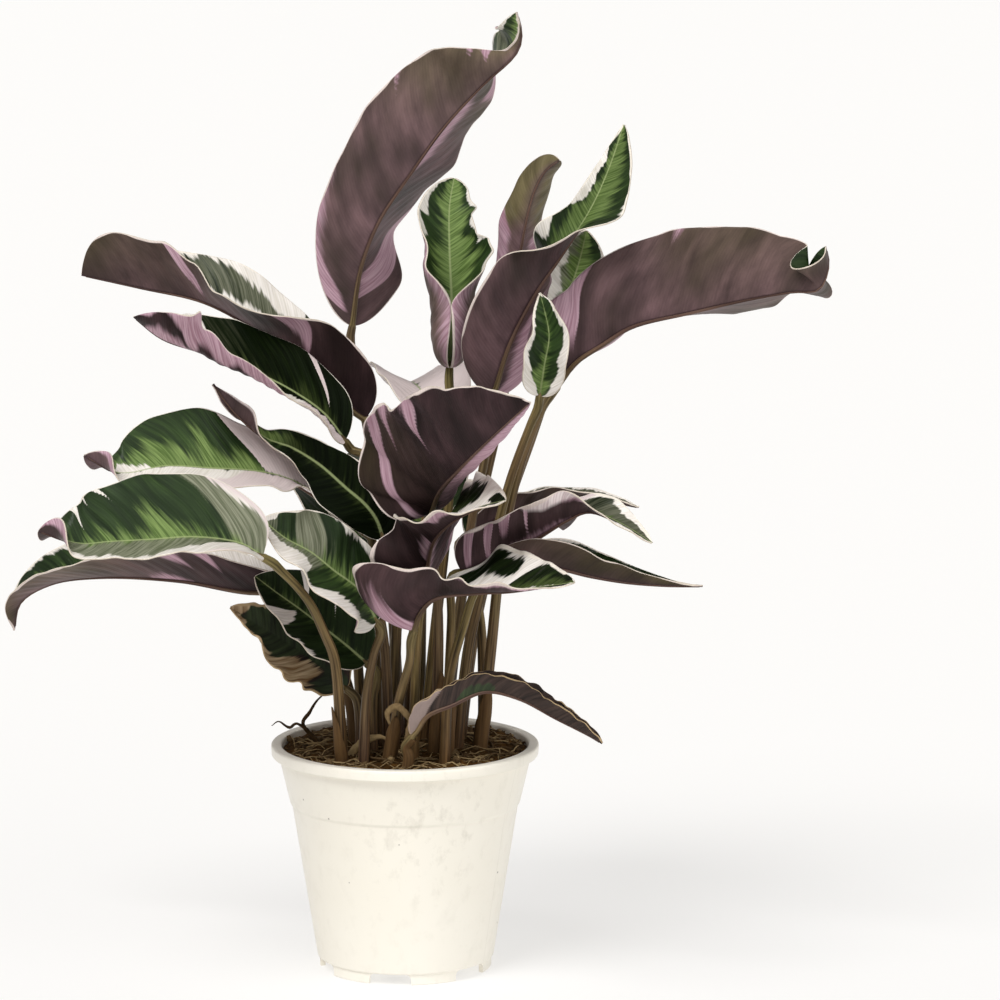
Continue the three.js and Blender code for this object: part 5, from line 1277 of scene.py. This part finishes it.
fibre_mesh = bmesh.new()
for k in range(FIBRES):
    middle = Vector((*dropped(0.0, 0.9), 0))
    long = dice.uniform(4, 13)
    way = Vector((math.cos(dice.uniform(0, ANY_TURN)), math.sin(dice.uniform(0, ANY_TURN)), 0)).normalized()
    aside = Vector((-way.y, way.x, 0)) * dice.uniform(-0.35, 0.35) * long
    thick = dice.uniform(0.16, 0.34) if k % 6 else dice.uniform(0.4, 0.6)
    lift = dice.uniform(0, 1.2)
    places = []
    for j in range(len(FIBRE_SHAPE)):
        w = j / (len(FIBRE_SHAPE) - 1) * 2 - 1
        spot = middle + way * long * w + aside * w * w
        away = math.hypot(spot.x, spot.y)
        if away > edge - WALL_ROOM:
            spot *= (edge - WALL_ROOM) / away
        spot.z = soil_height(spot.x, spot.y) + 0.5 * thick + lift * (1 - w * w)
        places.append(spot)
    tone = dice.uniform(0.45, 1) if k % 3 else dice.uniform(0.05, 0.3)
    bm, spots = tube(places, [thick * share for share in FIBRE_SHAPE], FIBRE_SIDES)
    for vert, _, _ in spots:
        vert[bm.verts.layers.float["tone"]] = tone
    thread = mesh_of("thread", bm)
    fibre_mesh.from_mesh(thread)
    bpy.data.meshes.remove(thread)
finish_piece("coir_fibres", fibre_mesh, [LOOSE])
print("crumbs:", CRUMBS, "fibres:", FIBRES)

# %% [markdown]
# A few things stand in the peat by themselves: a dry black rootlet by the rim, the curled stub of an old stalk, a
# pale new shoot that is still a rolled point, and papery sheaths round the feet of the outer stalks. Each is a tube
# whose points and thickness are listed.

# %% Rootlet, stub and shoot
# name: points in mm, radius at each point, tone
SMALL_THINGS = {
    "rootlet": ([(-37, 8, 98), (-42, 9, 103), (-46, 8, 109), (-43, 7, 114), (-40, 7, 119), (-37, 8, 122)],
                [0.9, 1.1, 0.8, 0.9, 0.6, 0.3], 0.02),
    "rootlet_fork": ([(-44, 8, 106), (-49, 7, 109), (-52, 8, 107), (-57, 7, 110), (-60, 7, 108)],
                     [0.8, 0.6, 0.7, 0.4, 0.2], 0.02),
    "old_stub": ([(2, -38, 97), (2, -38, 107), (3, -39, 117), (6, -39, 124), (10, -39, 127), (14, -39, 123)],
                 [2.3, 2.2, 1.9, 1.7, 1.6, 0.9], 0.3),
    "old_stub_curl": ([(4, -40, 119), (1, -41, 124), (-3, -41, 127), (-7, -41, 124), (-6, -41, 119)],
                      [1.0, 1.5, 1.6, 1.4, 0.5], 0.35),
    "new_shoot": ([(-25, -25, 98), (-21, -25, 105), (-16, -26, 109), (-10, -26, 110), (-8, -26, 109)],
                  [2.0, 2.0, 1.9, 1.6, 0.7], 0.85),
}
STEPS_BETWEEN, THING_SIDES = 6, 10
KNOBS, KNOB_LENGTH = 0.25, 1.5  # how lumpy they are, as a share of the radius
for name, (points, radii, tone) in SMALL_THINGS.items():
    path = Path(points)
    steps = STEPS_BETWEEN * (len(points) - 1)
    places = [path.place(k / steps) for k in range(steps + 1)]
    shares = [k / steps * (len(radii) - 1) for k in range(steps + 1)]
    widths = [radii[int(s)] + (radii[min(int(s) + 1, len(radii) - 1)] - radii[int(s)]) * (s - int(s)) for s in shares]
    bm, spots = tube(places, widths, THING_SIDES)
    for vert, k, _ in spots:
        vert.co += (vert.co - places[k]) * KNOBS * noise.noise(vert.co / KNOB_LENGTH)
        vert[bm.verts.layers.float["tone"]] = tone
    finish_piece(name, bm, [LOOSE])
print("small things in the peat:", list(SMALL_THINGS))

# %% [markdown]
# ## Sheaths
# Every stalk starts inside the sheath of an older one: a thin papery sleeve, open at one side, that ends in a point.
# It is a small grid wrapped part of the way round the foot of the stalk, and Solidify makes it paper-thin.

# %% Wrap the sheaths
SHEATH_ROWS, SHEATH_COLUMNS = 24, 18
SHEATH_THICKNESS = 0.35
SHEATH_SUNK = 3  # how far it reaches down into the peat
SHEATH_TORN = 0.25  # how uneven its sides are, as a share of its width
SHEATH_CLOSEST = 0.15  # how near it comes to the stalk
# stalk: how high it reaches in mm, which side it covers in degrees, how far round at its foot
SHEATHS = {
    "left_low": (34, 200, 230), "left_trailing": (40, 250, 220), "centre": (46, 300, 210),
    "front_low": (30, 270, 240), "right_mid": (38, 320, 220), "upper_left": (44, 240, 200),
    "right_wing": (36, 290, 220), "drooping": (28, 330, 230),
}


def sheath_skin():
    """Dry brown sheath, with long fibres."""
    material, tree, shader = start_material("dried leaf sheath, papery", 0.6, specular=0.15)
    fibres = fibre_noise(tree, (1.2, 1.2, 0.04))
    bump = node(tree, "Bump", {"Height": fibres, "Strength": 0.6, "Distance": 0.3 * MM})
    feed(tree, shader, {"Base Color": layered(tree, "#26180b", (fibres, "#775a38")), "Normal": bump})
    return material


SHEATH = sheath_skin()
by_name = {leaf["name"]: leaf for leaf in LEAVES}
for name, (reach, facing, round_about) in SHEATHS.items():
    stem = stem_path(by_name[name])
    bm = bmesh.new()
    grow_layer = bm.verts.layers.float_vector.new("grow")
    bmesh.ops.create_grid(bm, x_segments=SHEATH_ROWS, y_segments=SHEATH_COLUMNS, size=1)
    for vert in bm.verts:
        up, aside = (vert.co.x + 1) / 2, vert.co.y
        t = (STEM_DEPTH - SHEATH_SUNK + up * reach) / stem.length
        heading = stem.heading(t)
        ragged = 1 + SHEATH_TORN * noise.noise(Vector((aside * 2, up * 4, facing)))
        across = math.radians(facing) - aside * math.radians(round_about) / 2 * (1 - up**2.5 * 0.9) * ragged
        flat = Vector((math.cos(across), math.sin(across), 0))
        flat = (flat - heading * flat.dot(heading)).normalized()
        loose = 0.3 + 0.5 * up**2 + 0.3 * noise.noise(Vector((across * 1.5, up * 3, reach)))
        vert.co = stem.place(t) + flat * (stem_radius(t) + max(loose, SHEATH_CLOSEST))
        vert[grow_layer] = Vector((across * 3, reach, up * reach))
    thicken(finish_piece("sheath_" + name, bm, [SHEATH]), SHEATH_THICKNESS, 1)
print("sheaths:", len(SHEATHS))
